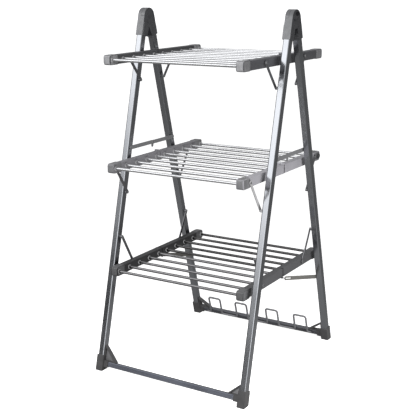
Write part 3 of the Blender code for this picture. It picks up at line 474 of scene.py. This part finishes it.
def welded(node):
    """Points and triangles of a solid, with points in one place made one point."""
    source = frame["nodes"][node].data
    points = np.empty(len(source.vertices) * 3, np.float32)
    source.vertices.foreach_get("co", points)
    corners = np.empty(len(source.loops), np.int32)
    source.loops.foreach_get("vertex_index", corners)
    places, index = np.unique(np.round(points.reshape(-1, 3), 5), axis=0, return_inverse=True)
    faces = index.reshape(-1)[corners.reshape(-1, 3)]
    whole = (faces[:, 0] != faces[:, 1]) & (faces[:, 1] != faces[:, 2]) & (faces[:, 0] != faces[:, 2])
    return places, faces[whole]


def softened(node, finish, body, width):
    """Copy of a solid whose sharp edges are rounded by a bevel of the given width."""
    places, faces = welded(node)
    mesh = bpy.data.meshes.new(node)
    mesh.from_pydata(places.tolist(), [], faces.tolist())
    work = bmesh.new()
    work.from_mesh(mesh)
    bmesh.ops.dissolve_limit(work, angle_limit=FLAT_ANGLE, verts=work.verts, edges=work.edges)
    work.to_mesh(mesh)
    work.free()
    made = dressed(f"{node}_shell", mesh, finish, body, [node], SOLID_SHARP)
    bevel = made.modifiers.new("Soft edges", "BEVEL")
    bevel.width = width
    bevel.segments = 2
    bevel.limit_method = "ANGLE"
    bevel.angle_limit = BEVEL_ANGLE
    return made


bodies = frame["record"]["behaviour"]["bodies"]
body_of = {node: body for body, nodes in bodies.items() for node in nodes}
# The middle front right strut gets the copy of the link steel with painted light.
link_finish = {
    "middle_front_right_strut": painted_light_link_steel,
    "bottom_left_stay": painted_link_steel,
    "bottom_right_stay": painted_link_steel,
    "front_left_spreader": spreader_steel,
    "rear_left_spreader": spreader_steel,
    "front_right_spreader": spreader_steel,
    "rear_right_spreader": spreader_steel,
}
count = 0
for node, body in body_of.items():
    if node.endswith("_hinge_cap"):
        softened(node, cap_plastic, body, CAP_BEVEL)
    elif node.endswith("_foot"):
        softened(node, foot_plastic, body, FOOT_BEVEL)
    elif node.endswith("_rail"):
        tier, _, side_name, _ = node.split("_")
        softened(node, rail_metal[f"{tier}_{side_name}"], body, METAL_BEVEL)
    elif node.endswith(("_strut", "_spreader", "_stay")):
        softened(node, link_finish.get(node, link_steel), body, METAL_BEVEL)
    else:
        continue
    count += 1
print("softened solids:", count)

# %% [markdown]
# ## Panels and lips on the feet
#
# The front feet have a triangular gusset: three thick rims and a thin web between them. The web is given
# a lighter grey than the rims, and the left web is a darker copy of the right one: painted shade. It gets
# its own panel, a hair thicker than the solid's web. Where the leg enters the foot the moulding is rolled
# into a small lip, which is a rounded section carried round the leg.

# %% Gusset panels and boot lips
LEG_IN = LEG_MIDDLE - LEG_WIDTH / 2
GUSSETS = {"left": (0.1090, 0.0600), "right": (0.0885, 0.0500)}
GUSSET_RIM, WEB_HALF, FOOT_WALL, FOOT_HEIGHT = 0.0042, 0.0019, 0.003, 0.064
PANEL_GAP, PANEL_EDGE, FACE_SHARE, EDGE_SHARE = 0.0002, 0.0003, 0.06, 0.02
LIP_HALF, LIP_THICK, LIP_RISE = 0.0012, 0.0026, 0.0003


def gusset_panel(side, height, reach):
    """Corners (across, down) of the web. The long rim runs from the peak to the tip, and its inner edge is
    moved in square to it, which lowers the web's top corner by r (s + root(1 + s s)) for a rim r and a
    slope s."""
    root, tip = LEG_IN - PANEL_GAP, LEG_IN - FOOT_WALL - reach
    seat = crossbar_down - CROSSBAR_HEIGHT / 2 - PANEL_GAP
    peak = FLOOR_BELOW - height
    slope = (seat - peak) / (root - tip)
    top = peak + GUSSET_RIM * (slope + math.hypot(1, slope))
    corner, low = root - GUSSET_RIM, seat - GUSSET_RIM
    far = corner - (low - top) / slope
    return np.array([[side * corner, top], [side * corner, low], [side * far, low]])


def shrunk(outline, share):
    """Outline drawn in towards its middle by a share of each corner's distance."""
    middle = outline.mean(axis=0)
    return middle + (outline - middle) * (1 - share)


def sleeve_rings(side, way, down, half_height, thick, steps=9):
    """Ring round a leg. At each point p of the leg's section it carries a small oval, whose points are
    p + a u cos t across the leg and b sin t along it, where u points from the leg's middle to p."""
    outline = rounded_rectangle(LEG_WIDTH, LEG_DEPTH, LEG_CORNER, steps, FLAT_RUN)
    loop = circle(1, 10) * np.array([thick, half_height])
    middle = outline / np.linalg.norm(outline, axis=1, keepdims=True)
    spread = outline[:, None] + middle[:, None] * loop[None, :, :1]
    across, out = side * LEG_MIDDLE + spread[..., 0], LEG_OFFSET + spread[..., 1]
    return leg_space(way, across, out, down + loop[None, :, 1])


for side_name, side in SIDES.items():
    outline = gusset_panel(side, *GUSSETS[side_name])
    face, edge, near = shrunk(outline, FACE_SHARE), shrunk(outline, EDGE_SHARE), WEB_HALF - PANEL_EDGE
    rings = [
        leg_space(WAYS["front"], drawn[:, 0], LEG_OFFSET + out, drawn[:, 1])
        for drawn, out in ((face, -WEB_HALF), (edge, -near), (edge, near), (face, WEB_HALF))
    ]
    name = f"front_{side_name}_gusset_panel"
    piece(name, [loft(np.stack(rings))], web_plastic[side_name], "front_frame", ())
    for way_name, way in WAYS.items():
        lip = sleeve_rings(side, way, FLOOR_BELOW - FOOT_HEIGHT + LIP_RISE, LIP_HALF, LIP_THICK)
        name = f"{way_name}_{side_name}_boot_lip"
        piece(name, [ring(lip)], foot_plastic, f"{way_name}_frame", ())
print("gusset panels:", len(GUSSETS))

# %% [markdown]
# ## The bars
#
# Every wing has five round tubes. The solids have ten sides, which is enough for physics and not for a
# highlight. Here each is a true circle in 36 steps, carried from rail to rail, with the two strips inside
# the rails that hold them.

# %% Round bars
BAR_PLACES = np.linspace(0.033, 0.330, 5)
BAR_RADIUS, BAR_END, BAR_STEPS = 0.006, 0.3002, 36
STRIP_IN, STRIP_THICK, STRIP_HALF, STRIP_ENDS = 0.2997, 0.0015, 0.008, (0.0235, 0.3395)
TIER_HEIGHTS = {"top": 1.326, "middle": 0.881, "bottom": 0.434}
TIERS = list(TIER_HEIGHTS)


def strip_rings(side, way, height):
    """Two rectangles, a thickness apart along X, that make a flat strip inside a rail."""
    low, high = STRIP_ENDS
    corners = np.array([[low, -1], [high, -1], [high, 1], [low, 1]]) * [1, STRIP_HALF]
    across = side * (STRIP_IN + np.array([0, STRIP_THICK]))
    y, z = way * corners[:, 0], height + corners[:, 1]
    return np.stack(np.broadcast_arrays(across[:, None], y[None], z[None]), -1)


across = np.linspace(-BAR_END, BAR_END, 9)
profile = np.stack([across, np.full(9, BAR_RADIUS)], -1)
for tier, height in TIER_HEIGHTS.items():
    for way_name, way in WAYS.items():
        skins = [loft(turned(profile, (0, way * y, height), 1, BAR_STEPS)) for y in BAR_PLACES]
        skins += [loft(strip_rings(side, way, height)) for side in SIDES.values()]
        node = f"{tier}_{way_name}_bars"
        # The bottom front bars get their own lighter copy of the bar metal: painted light and shade.
        finish = bar_metal.get(f"{tier}_{way_name}", bar_metal[tier])
        piece(f"{tier}_{way_name}_tubes", skins, finish, body_of[node], [node])
print("bars:", len(BAR_PLACES) * len(TIERS) * len(WAYS))

# %% [markdown]
# ## Collars where the bars enter the rails
#
# A small plastic collar lines each hole in a rail, so the tube doesn't rattle or scrape. It is a ring: a
# small rounded section carried once round the bar.

# %% Collars
RAIL_IN, RAIL_OUT, RAIL_LENGTH, END_LENGTH = 0.2910, 0.3206, 0.345, 0.053
END_PROUD, HAIR = 0.0010, 0.0002
END_START = RAIL_LENGTH - END_LENGTH
COLLAR_IN, COLLAR_OUT, COLLAR_DEPTH, COLLAR_CORNER = 0.00602, 0.0092, 0.0016, 0.0006


def collar_rings(x, side, y, z, steps=24):
    """Ring of a rounded section, which runs round the bar midway between the inner and outer radius."""
    loop = rounded_rectangle(COLLAR_DEPTH, COLLAR_OUT - COLLAR_IN, COLLAR_CORNER, 4)
    loop = loop + np.array([-COLLAR_DEPTH / 2, (COLLAR_IN + COLLAR_OUT) / 2])
    return turned(loop, (x, y, z), side, steps)


for tier, height in TIER_HEIGHTS.items():
    for way_name, way in WAYS.items():
        skins = []
        for side in SIDES.values():
            for y in BAR_PLACES:
                face = RAIL_IN - (END_PROUD + HAIR if y > END_START else 0)
                skins.append(ring(collar_rings(side * face, side, way * y, height)))
        name = f"{tier}_{way_name}_collars"
        piece(name, skins, collar_plastic, f"{tier}_{way_name}_wing", ())
print("collars:", len(SIDES) * len(BAR_PLACES) * len(TIERS) * len(WAYS))

# %% [markdown]
# ## End caps of the rails
#
# A moulded cap closes the free end of every rail and stands a little proud of it. It is a loft along the
# rail. The last rings shrink on a quarter circle, which rounds the end, and one narrow dip makes the seam
# between the cap's two shells.

# %% End caps
END_HALF = np.array([0.0148, 0.0191]) + END_PROUD + HAIR
END_FALL, WIDTH_SHARE, END_TURN, END_CORNER, END_RUN = 0.0088, 0.35, 0.94, 0.16, 0.02
END_LAP, END_SHARP = 0.0003, 50
END_SEAM = np.array([
    (0, 0.0006), (0.0006, 0), (0.0120, 0), (0.0124, 0.0005), (0.0130, 0.0005), (0.0134, 0)
])


def end_cap_rings(side, way, height, start=END_START - END_LAP, end=RAIL_LENGTH + HAIR):
    """Rings of an end cap. Along the rail its half height falls by R (1 - cos t) while the distance grows
    by R sin t, for t from 0 to nearly a quarter turn. The width falls a third as much. The seam holds pairs
    of a distance from the cap's start and how far its surface lies in there. The outline is drawn on a
    square of side 2, so the cap's half sizes scale it."""
    turn = np.linspace(0, math.pi / 2 * END_TURN, 9)
    rounding = end - END_FALL + END_FALL * np.sin(turn) / math.sin(turn[-1])
    distance = np.concatenate([start + END_SEAM[:, 0], rounding])
    tall = np.concatenate([END_SEAM[:, 1], END_FALL * (1 - np.cos(turn))])
    wide = np.concatenate([END_SEAM[:, 1], END_FALL * (1 - np.cos(turn)) * WIDTH_SHARE])
    outline = rounded_rectangle(2, 2, END_CORNER, 6, END_RUN)
    x = side * (RAIL_IN + RAIL_OUT) / 2 + outline[None, :, 0] * (END_HALF[0] - wide)[:, None]
    z = height + outline[None, :, 1] * (END_HALF[1] - tall)[:, None]
    return np.stack(np.broadcast_arrays(x, way * distance[:, None], z), -1)


for tier, height in TIER_HEIGHTS.items():
    for way_name, way in WAYS.items():
        for side_name, side in SIDES.items():
            name = f"{tier}_{way_name}_{side_name}_end_cap"
            skins = [loft(end_cap_rings(side, way, height))]
            body, rail_slot = f"{tier}_{way_name}_wing", f"{tier}_rail"
            piece(name, skins, end_plastic[tier], body, (), END_SHARP)
print("end caps:", len(TIERS) * len(WAYS) * len(SIDES))

# %% [markdown]
# ## Rivets
#
# Every link turns on a rivet, whose head shows as a low dome. The head is turned about the rivet's own
# line, and its profile is a short straight edge and a quarter of an oval. A hammered head looks like that,
# and six steps are enough at this size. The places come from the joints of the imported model.

# %% Domed rivet heads
STRUT_IN, STRUT_FACE = 0.3222, 0.3264
LINK_OUT, LINK_GAP, LINK_THICK, LINK_STEP = 0.3358, 0.0025, 0.0028, 0.0012
RAIL_RIVET, LEG_RIVET = (0.0062, 0.0020), (0.0046, 0.0014)
SPREADER_RIVET, CENTRE_RIVET = (0.0042, 0.0014), (0.0040, 0.0010)
DOME_TURN, DOME_EDGE = 0.93, 0.3
joints = {joint["name"]: joint for joint in frame["joints"]}


def dome(radius, height, steps=6):
    """Profile (distance out, radius) of a dome on a short straight edge e: radius R cos t at a distance
    e + (h - e) sin t, for t from 0 to nearly a quarter turn."""
    turn = np.linspace(0, math.pi / 2 * DOME_TURN, steps)
    edge = height * DOME_EDGE
    out = np.concatenate([[-HAIR], edge + (height - edge) * np.sin(turn)])
    return np.stack([out, np.concatenate([[radius], radius * np.cos(turn)])], -1)


def rail_pivot(tier, way):
    """Where a tier's struts meet its rails, mirrored for the rear wing."""
    y, z = joints[f"{tier}_front_wing_turn"]["pos_m"][1:]
    return -way * y, z


def leg_pivot(name):
    """Where a link meets its leg: the (y, z) of its joint."""
    return joints[name]["pos_m"][1:]


for tier in TIERS:
    for way_name, way in WAYS.items():
        skins = []
        at_rail = rail_pivot(tier, way)
        at_leg = leg_pivot(f"{tier}_{way_name}_strut_turn")
        for side in SIDES.values():
            skins.append(loft(turned(dome(*RAIL_RIVET), (side * STRUT_FACE, *at_rail), side)))
            skins.append(loft(turned(dome(*LEG_RIVET), (side * STRUT_IN, *at_leg), -side)))
        name = f"{tier}_{way_name}_strut_rivets"
        piece(name, skins, rivet_steel, f"{tier}_{way_name}_struts", ())
for way_name, way in WAYS.items():
    inner = LINK_OUT - LINK_GAP - (LINK_THICK if way_name == "rear" else 0)
    heads = [(SPREADER_RIVET, inner, leg_pivot(f"{way_name}_spreader_turn"))]
    if way_name == "rear":
        heads.append((CENTRE_RIVET, inner - LINK_STEP, (0, heads[0][2][1])))
    skins = [
        loft(turned(dome(*head), (side * out, *place), -side))
        for head, out, place in heads for side in SIDES.values()
    ]
    piece(f"{way_name}_spreader_rivets", skins, rivet_steel, f"{way_name}_spreaders", ())
print("groups of rivets:", (len(TIERS) + 1) * len(WAYS))

# %% [markdown]
# ## The hinge caps' side faces
#
# The outer face of each knuckle isn't plain: a round steel hinge pin shows at its middle, with a sunken
# moulding above it and a small screw hole beside it, both near-black with painted shade. They are shallow
# turned forms that sit on the face. The sunken ones are dishes: their floor lies below their rim. On the
# inner side a near-black wedge is laid in the gap between the two halves of the cap, where the legs part:
# a sheet of painted shade.

# %% Hinge pins and sunken mouldings
CAP_OUT, CAP_WEB = 0.3675, 0.3316
OVAL_PLACE, OVAL_HALF, SCREW_PLACE = (0.0056, 1.5055), (0.0150, 0.0085), (-0.0186, 1.482)
PIN_HEAD, PIN_RISE = (0.0082, 0.0014), 0.0001
OVAL_RIM = [(-0.0004, 1), (0.0004, 1), (0.0007, 0.95), (0.0006, 0.86), (0.0001, 0.8), (0.00005, 0.3)]
SCREW_DISH = [(0.0001, 0.0034), (0.0004, 0.0032), (0.0004, 0.0024), (0.0002, 0.0020)]
WEDGE = np.array([[-0.0062, 1.4408], [-0.0086, 1.4408], [-0.0232, 1.4050], [0.0135, 1.4032]])
WEDGE_EDGE = ((0, 0), (0.0003, 0.02), (0.0004, 0.08))


def oval_rings(side, profile, steps=40):
    """Rings of the oval form on a side face. Each profile entry (a, k) is a ring a out from the face whose
    outline is k times the full oval (l cos t, h sin t)."""
    profile = np.asarray(profile, float)
    unit = circle(1, steps) * np.array(OVAL_HALF)
    across = np.repeat(side * CAP_OUT + side * profile[:, :1], steps, 1)
    around = np.array(OVAL_PLACE) + profile[:, 1, None, None] * unit[None]
    return np.concatenate([across[..., None], around], -1)


def wedge_rings(side):
    """Rings of the wedge: its outline, drawn in by a share at each distance from the cap's web."""
    return np.stack([
        np.stack([np.full(len(WEDGE), side * (CAP_WEB - out)), *shrunk(WEDGE, share).T], -1)
        for out, share in WEDGE_EDGE
    ])


for side_name, side in SIDES.items():
    head = turned(dome(*PIN_HEAD) + np.array([PIN_RISE, 0]), (side * CAP_OUT, 0, HINGE_HEIGHT), side, 32)
    for form, rings, finish in (
        ("cap_moulding", oval_rings(side, OVAL_RIM), painted_recess_shade),
        ("hinge_pin_head", head, rivet_steel),
        ("cap_wedge", wedge_rings(side), painted_recess_shade),
        ("cap_screw", turned(SCREW_DISH, (side * CAP_OUT, *SCREW_PLACE), side), painted_recess_shade),
    ):
        piece(f"{side_name}_{form}", [loft(rings)], finish, "front_frame", ())
print("hinge pins:", len(SIDES))

# %% [markdown]
# ## The shoe rack
#
# One steel wire is bent into four loops that lean forward over the rear crossbar. Its middle line is a
# polyline whose corners are replaced by arcs, and a circle is carried along it. The whole wire lies in one
# plane, so the circle's frame never twists: one axis is always square to that plane.

# %% Bent wire
RACK_LOOPS = ((-0.264, -0.201), (-0.115, -0.053), (0.053, 0.115), (0.201, 0.264))
RACK_TAIL, RACK_RISE, RACK_BEND, RACK_GAP = 0.020, 0.085, 0.010, 0.0003
RACK_LEAN, WIRE_RADIUS = math.radians(16), 0.0046


def bent(corners, radius, steps):
    """Polyline with round corners. An arc touches both legs of a corner, and its points turn from one
    touching point to the other about the arc's centre."""
    path = [corners[:1]]
    done = np.linspace(0, 1, steps)[:, None]
    for before, corner, after in zip(corners, corners[1:], corners[2:]):
        back, on = before - corner, after - corner
        back, on = back / np.linalg.norm(back), on / np.linalg.norm(on)
        half = math.acos(back @ on) / 2
        centre = corner + (back + on) / np.linalg.norm(back + on) * radius / math.sin(half)
        start = corner + back * radius / math.tan(half) - centre
        end = corner + on * radius / math.tan(half) - centre
        turn = math.pi - 2 * half
        arc = start * np.sin(turn * (1 - done)) + end * np.sin(turn * done)
        path.append(centre + arc / math.sin(turn))
    return np.concatenate(path + [corners[-1:]])


def carried(path, square, radius, steps=14):
    """Rings of a round wire. Ring i lies across the path: c + r (cos t n + sin t (n x d)), where d is the
    path's direction there and n the direction square to its plane."""
    along = np.gradient(path, axis=0)
    along /= np.linalg.norm(along, axis=1, keepdims=True)
    third = np.cross(square, along)
    unit = circle(radius, steps)
    return path[:, None] + unit[None, :, :1] * square + unit[None, :, 1:] * third[:, None]


rack_out = LEG_OFFSET - CROSSBAR_DEPTH / 2 - WIRE_RADIUS - RACK_GAP
rear_bar = leg_space(WAYS["rear"], 0, rack_out, crossbar_down)
rise = np.array([0, -math.sin(RACK_LEAN), math.cos(RACK_LEAN)]) * RACK_RISE
flat = [(RACK_LOOPS[0][0] - RACK_TAIL, 0)]
for start, end in RACK_LOOPS:
    flat += [(start, 0), (start, 1), (end, 1), (end, 0)]
flat.append((RACK_LOOPS[-1][1] + RACK_TAIL, 0))
flat = np.array(flat)
corners = rear_bar + flat[:, :1] * np.array([1, 0, 0]) + flat[:, 1:] * rise
path = bent(corners, RACK_BEND, 9)
square = np.cross([1, 0, 0], rise / RACK_RISE)
skins = [loft(carried(path, square, WIRE_RADIUS))]
piece("shoe_rack_bent_wire", skins, wire_paint, "rear_frame", ["shoe_rack_wire"])
print("wire length:", round(float(np.linalg.norm(np.diff(path, axis=0), axis=1).sum()), 3))

# %% [markdown]
# ## Switch and cord gland
#
# The switch is an oval push button in a raised bezel on the side of the middle tier's right rail. An
# oval with flat sides is two half circles, and a ring at any distance from it is the same oval with a
# larger radius, so bezel and button share one formula. The gland on the rail's end is turned, with ribs.

# %% Switch and gland
SWITCH_SEAT, SWITCH_ALONG, SWITCH_SHARP = 0.0003, 0.3225, 60
SWITCH = (RAIL_OUT + END_PROUD + SWITCH_SEAT, SWITCH_ALONG, TIER_HEIGHTS["middle"])
BEZEL_SPREAD, BUTTON_SPREAD = 0.0063, 0.0060
BEZEL = [
    (0, 0.0081), (0.0036, 0.0081), (0.0043, 0.0086), (0.0045, 0.0100),
    (0.0042, 0.0117), (0.0030, 0.0126), (0, 0.0127),
]
BUTTON = [
    (0.0023, 0.0074), (0.0050, 0.0075), (0.0060, 0.0074),
    (0.0066, 0.0068), (0.0062, 0.0056), (0.0060, 0.0030),
]
GLAND = [(0.0002, 0.0100), (0.0036, 0.0100), (0.0046, 0.0090), (0.0046, 0.0072)]
RIB_START, RIB_COUNT, RIB_STEP, RIB_TAPER = (0.0050, 0.0070), 7, 0.0014, 0.0003
RIB_WIDTH, RIB_CUT, GLAND_END = 0.0007, 0.0008, (0.0158, 0.0046)


def flat_oval(spread, profile, place, steps=14):
    """Rings of a flat-sided oval on a rail's side: two half circles of radius r, spread apart along Y. Each
    profile entry is (distance out from the rail, radius)."""
    turn = np.linspace(-math.pi / 2, math.pi / 2, steps)
    turn = np.concatenate([turn, turn + math.pi])
    centre = np.where(np.arange(2 * steps) < steps, spread, -spread)
    out, radius = np.array(profile).T[..., None]
    y = place[1] + centre[None] + radius * np.cos(turn)[None]
    z = place[2] + radius * np.sin(turn)[None]
    x = place[0] + np.repeat(out, 2 * steps, 1)
    return np.stack([x, y, z], -1)


wing, button = "middle_rear_wing", "switch_button"
skins = [ring(flat_oval(BEZEL_SPREAD, BEZEL, SWITCH))]
piece("switch_bezel_rim", skins, cap_plastic, wing, ["switch_bezel"], SWITCH_SHARP)
skins = [loft(flat_oval(BUTTON_SPREAD, BUTTON, SWITCH))]
piece("switch_button_dish", skins, button_plastic, button, [button], SWITCH_SHARP)


def along_rail(rings, centre):
    """Turns rings made about a line along X so that they lie about a line along Y, from the centre."""
    moved = rings - np.array(centre)
    return np.stack([moved[..., 1], moved[..., 0], moved[..., 2]], -1) + np.array(centre)


gland_place = ((RAIL_IN + RAIL_OUT) / 2, RAIL_LENGTH, TIER_HEIGHTS["middle"])
ribs = [
    (RIB_START[0] + RIB_STEP * i + along, RIB_START[1] - RIB_TAPER * i - cut)
    for i in range(RIB_COUNT) for along, cut in ((0, 0), (RIB_WIDTH, RIB_CUT))
]
skins = [loft(along_rail(turned(GLAND + ribs + [GLAND_END], gland_place, 1), gland_place))]
piece("cord_gland_ribs", skins, button_plastic, wing, ["cord_gland"])
print("ribs on the gland:", RIB_COUNT)

# %% [markdown]
# ## What stays as it is
#
# The heating cores lie inside the bars, out of sight. Their solids stay, with the look of red silicone.

# %% Heating cores
cores = [node for node in frame["nodes"] if node.endswith("_heating_cores")]
for node in cores:
    solid = frame["nodes"][node]
    solid.data.materials.clear()
    solid.data.materials.append(core_silicone)
print("cores:", len(cores))

# %% [markdown]
# ## The floor
#
# A sheet of pale studio paper, larger than the picture, stands for the floor. Far off it bends up into a
# wall, so that a low camera sees paper too. Paper isn't quite even, so a broad faint noise moves its tone.
# A product photograph is retouched until the paper is white, but the metal still mirrors the dim room that
# it stood in. So there are two sheets: the pale one glows a little and is seen by the camera alone, and a
# dim cloth just above it is seen by reflections and by bounced light.

# %% Paper and cloth
COVE = [(10, 0), (40, 0), (48, 2), (54, 8), (56, 16), (56, 60)]
CLOTH = [(15, 0.0004), (30, 0.0004)]
MOTTLE_SCALE, MOTTLE_TINTS = 4, (0.97, 1.03)


def round_sheet(name, profile, finish, steps=96):
    """Sheet about the origin: a profile of (distance, height) is turned about the vertical, and its first
    ring is closed by a flat face."""
    profile = np.array(profile)
    edge = circle(1, steps)
    across = profile[:, :1, None] * edge[None]
    up = np.repeat(profile[:, 1:, None], steps, 1)
    points = np.concatenate([across, up], -1).reshape(-1, 3)
    faces = quads(len(profile), steps, False)[:, ::-1].tolist() + [list(range(steps))]
    mesh = bpy.data.meshes.new(name)
    mesh.from_pydata(points.tolist(), [], faces)
    mesh.materials.append(finish)
    made = bpy.data.objects.new(name, mesh)
    bpy.context.scene.collection.objects.link(made)
    return made


def matt(name, near, far, middle, reach, glow):
    """Matt finish that goes from one grey at its middle to another at a distance, with a soft mottle."""
    made, tree, shader, place = start_finish(name)
    away = tree.nodes.new("ShaderNodeVectorMath")
    away.operation = "DISTANCE"
    away.inputs[1].default_value = middle
    tree.links.new(place, away.inputs[0])
    falling = tree.nodes.new("ShaderNodeMapRange")
    falling.interpolation_type = "SMOOTHERSTEP"
    falling.inputs["From Max"].default_value = reach
    tree.links.new(away.outputs["Value"], falling.inputs["Value"])
    mottle = noise(tree, place, MOTTLE_SCALE, 4)
    greys = [[(grey * share,) * 3 for share in MOTTLE_TINTS] for grey in (near, far)]
    tones = [blended(tree, mottle, *pair) for pair in greys]
    mixed = tree.nodes.new("ShaderNodeMix")
    mixed.data_type = "RGBA"
    tree.links.new(falling.outputs["Result"], mixed.inputs["Factor"])
    for tone, side in zip(tones, "AB"):
        tree.links.new(tone, mixed.inputs[side])
    tree.links.new(mixed.outputs["Result"], shader.inputs["Base Color"])
    tree.links.new(mixed.outputs["Result"], shader.inputs["Emission Color"])
    shader.inputs["Emission Strength"].default_value = glow
    shader.inputs["Roughness"].default_value = 1
    shader.inputs["Specular IOR Level"].default_value = 0
    made.cycles.emission_sampling = "NONE"
    return made


pale = matt("floor_paper", near=0.88, far=0.87, middle=(0, 0, 0), reach=4, glow=0.95)
paper = round_sheet("studio_floor", COVE, pale)
paper.visible_diffuse = False
paper.visible_glossy = False
paper.visible_shadow = False
dim = matt("dim_cloth", near=0.085, far=0.055, middle=(0, -0.5, 0), reach=2.2, glow=2.2)
cloth = round_sheet("dim_cloth", CLOTH, dim)
cloth.visible_camera = False
cloth.visible_shadow = False
print("floor sheets:", paper.name, "and", cloth.name)

# %% [markdown]
# ## The light
#
# Metal looks like what it reflects, so the room is lit and not the object. A bright wall fills the upper
# left in front of the airer and fades towards the floor: the fronts of the legs mirror it, pale at the
# top and dark at the feet. Everything to the right and behind is dim, and the right sides of the legs
# mirror that. The wall's brightness follows one number: the height of a direction, moved by how far it
# points to the left, because the wall's lower edge slopes. Two lamps that no mirror shows light the
# plastic: a broad one high in front, and a small one low on the right for the sides of the feet.

# %% Room and lamps
WALL_SLOPE = 0.6
WALL = [
    (-0.34, 0.05), (-0.28, 0.07), (-0.24, 0.16), (-0.21, 0.3), (-0.177, 0.52), (-0.145, 0.84),
    (-0.115, 1.35), (-0.075, 1.9), (-0.04, 2.25), (0.14, 2.3), (0.4, 0.9), (1, 0.7),
]
BEHIND = [(0.0, 0.06), (0.15, 0.25), (0.4, 0.45), (0.8, 0.7)]
COOL = (0.975, 0.985, 1)
WALL_WAY, WALL_FADE = (-0.3, -0.9, 0.3), (0.1, 0.5)


def brightness(tree, value, stops):
    """Brightness over a value, by straight lines between stops of (value, brightness). A ramp holds only
    0 to 1, so the stops are divided by the brightest one and the result is multiplied by it."""
    low, high = stops[0][0], stops[-1][0]
    peak = max(bright for _, bright in stops)
    share = tree.nodes.new("ShaderNodeMapRange")
    share.inputs["From Min"].default_value = low
    share.inputs["From Max"].default_value = high
    tree.links.new(value, share.inputs["Value"])
    ramp = tree.nodes.new("ShaderNodeValToRGB")
    for _ in stops[2:]:
        ramp.color_ramp.elements.new(0.5)
    for element, (at, bright) in zip(ramp.color_ramp.elements, stops):
        element.position = (at - low) / (high - low)
        element.color = (*shaded(COOL, bright / peak), 1)
    tree.links.new(share.outputs["Result"], ramp.inputs["Fac"])
    scaled = tree.nodes.new("ShaderNodeVectorMath")
    scaled.operation = "SCALE"
    scaled.inputs["Scale"].default_value = peak
    tree.links.new(ramp.outputs["Color"], scaled.inputs[0])
    return scaled.outputs["Vector"]


def toward(tree, direction, axis):
    """How far a direction points along an axis: their dot product."""
    node = tree.nodes.new("ShaderNodeVectorMath")
    node.operation = "DOT_PRODUCT"
    node.inputs[1].default_value = axis
    tree.links.new(direction, node.inputs[0])
    return node.outputs["Value"]


world = bpy.data.worlds.new("studio_room")
bpy.context.scene.world = world
world.use_nodes = True
tree = world.node_tree
direction = tree.nodes.new("ShaderNodeTexCoord").outputs["Generated"]
wall = brightness(tree, toward(tree, direction, (WALL_SLOPE, 0, 1)), WALL)
behind = brightness(tree, toward(tree, direction, (0, 0, 1)), BEHIND)
front = tree.nodes.new("ShaderNodeMapRange")
front.inputs["From Min"].default_value = WALL_FADE[0]
front.inputs["From Max"].default_value = WALL_FADE[1]
tree.links.new(toward(tree, direction, WALL_WAY), front.inputs["Value"])
room = tree.nodes.new("ShaderNodeMix")
room.data_type = "VECTOR"
tree.links.new(front.outputs["Result"], room.inputs["Factor"])
tree.links.new(behind, room.inputs["A"])
tree.links.new(wall, room.inputs["B"])
tree.links.new(room.outputs["Result"], tree.nodes["Background"].inputs["Color"])


def soft_lamp(name, place, aim, width, watts):
    """Square lamp of a given width that faces from its place to a point, unseen in reflections."""
    light = bpy.data.lights.new(name, "AREA")
    light.size = width
    light.energy = watts
    lamp = bpy.data.objects.new(name, light)
    lamp.location = place
    lamp.rotation_euler = (Vector(place) - Vector(aim)).to_track_quat("Z", "Y").to_euler()
    lamp.visible_glossy = False
    bpy.context.scene.collection.objects.link(lamp)


soft_lamp("key_lamp", (0.35, -1.9, 2.2), (0, 0, 0.9), 0.9, 66)
soft_lamp("low_card", (1.3, -0.1, 0.4), (0.35, -0.1, 0.35), 0.6, 21)
bpy.context.scene.view_settings.view_transform = "Standard"
print("light: a room of", len(tree.nodes), "nodes and", len(bpy.data.lights), "lamps")
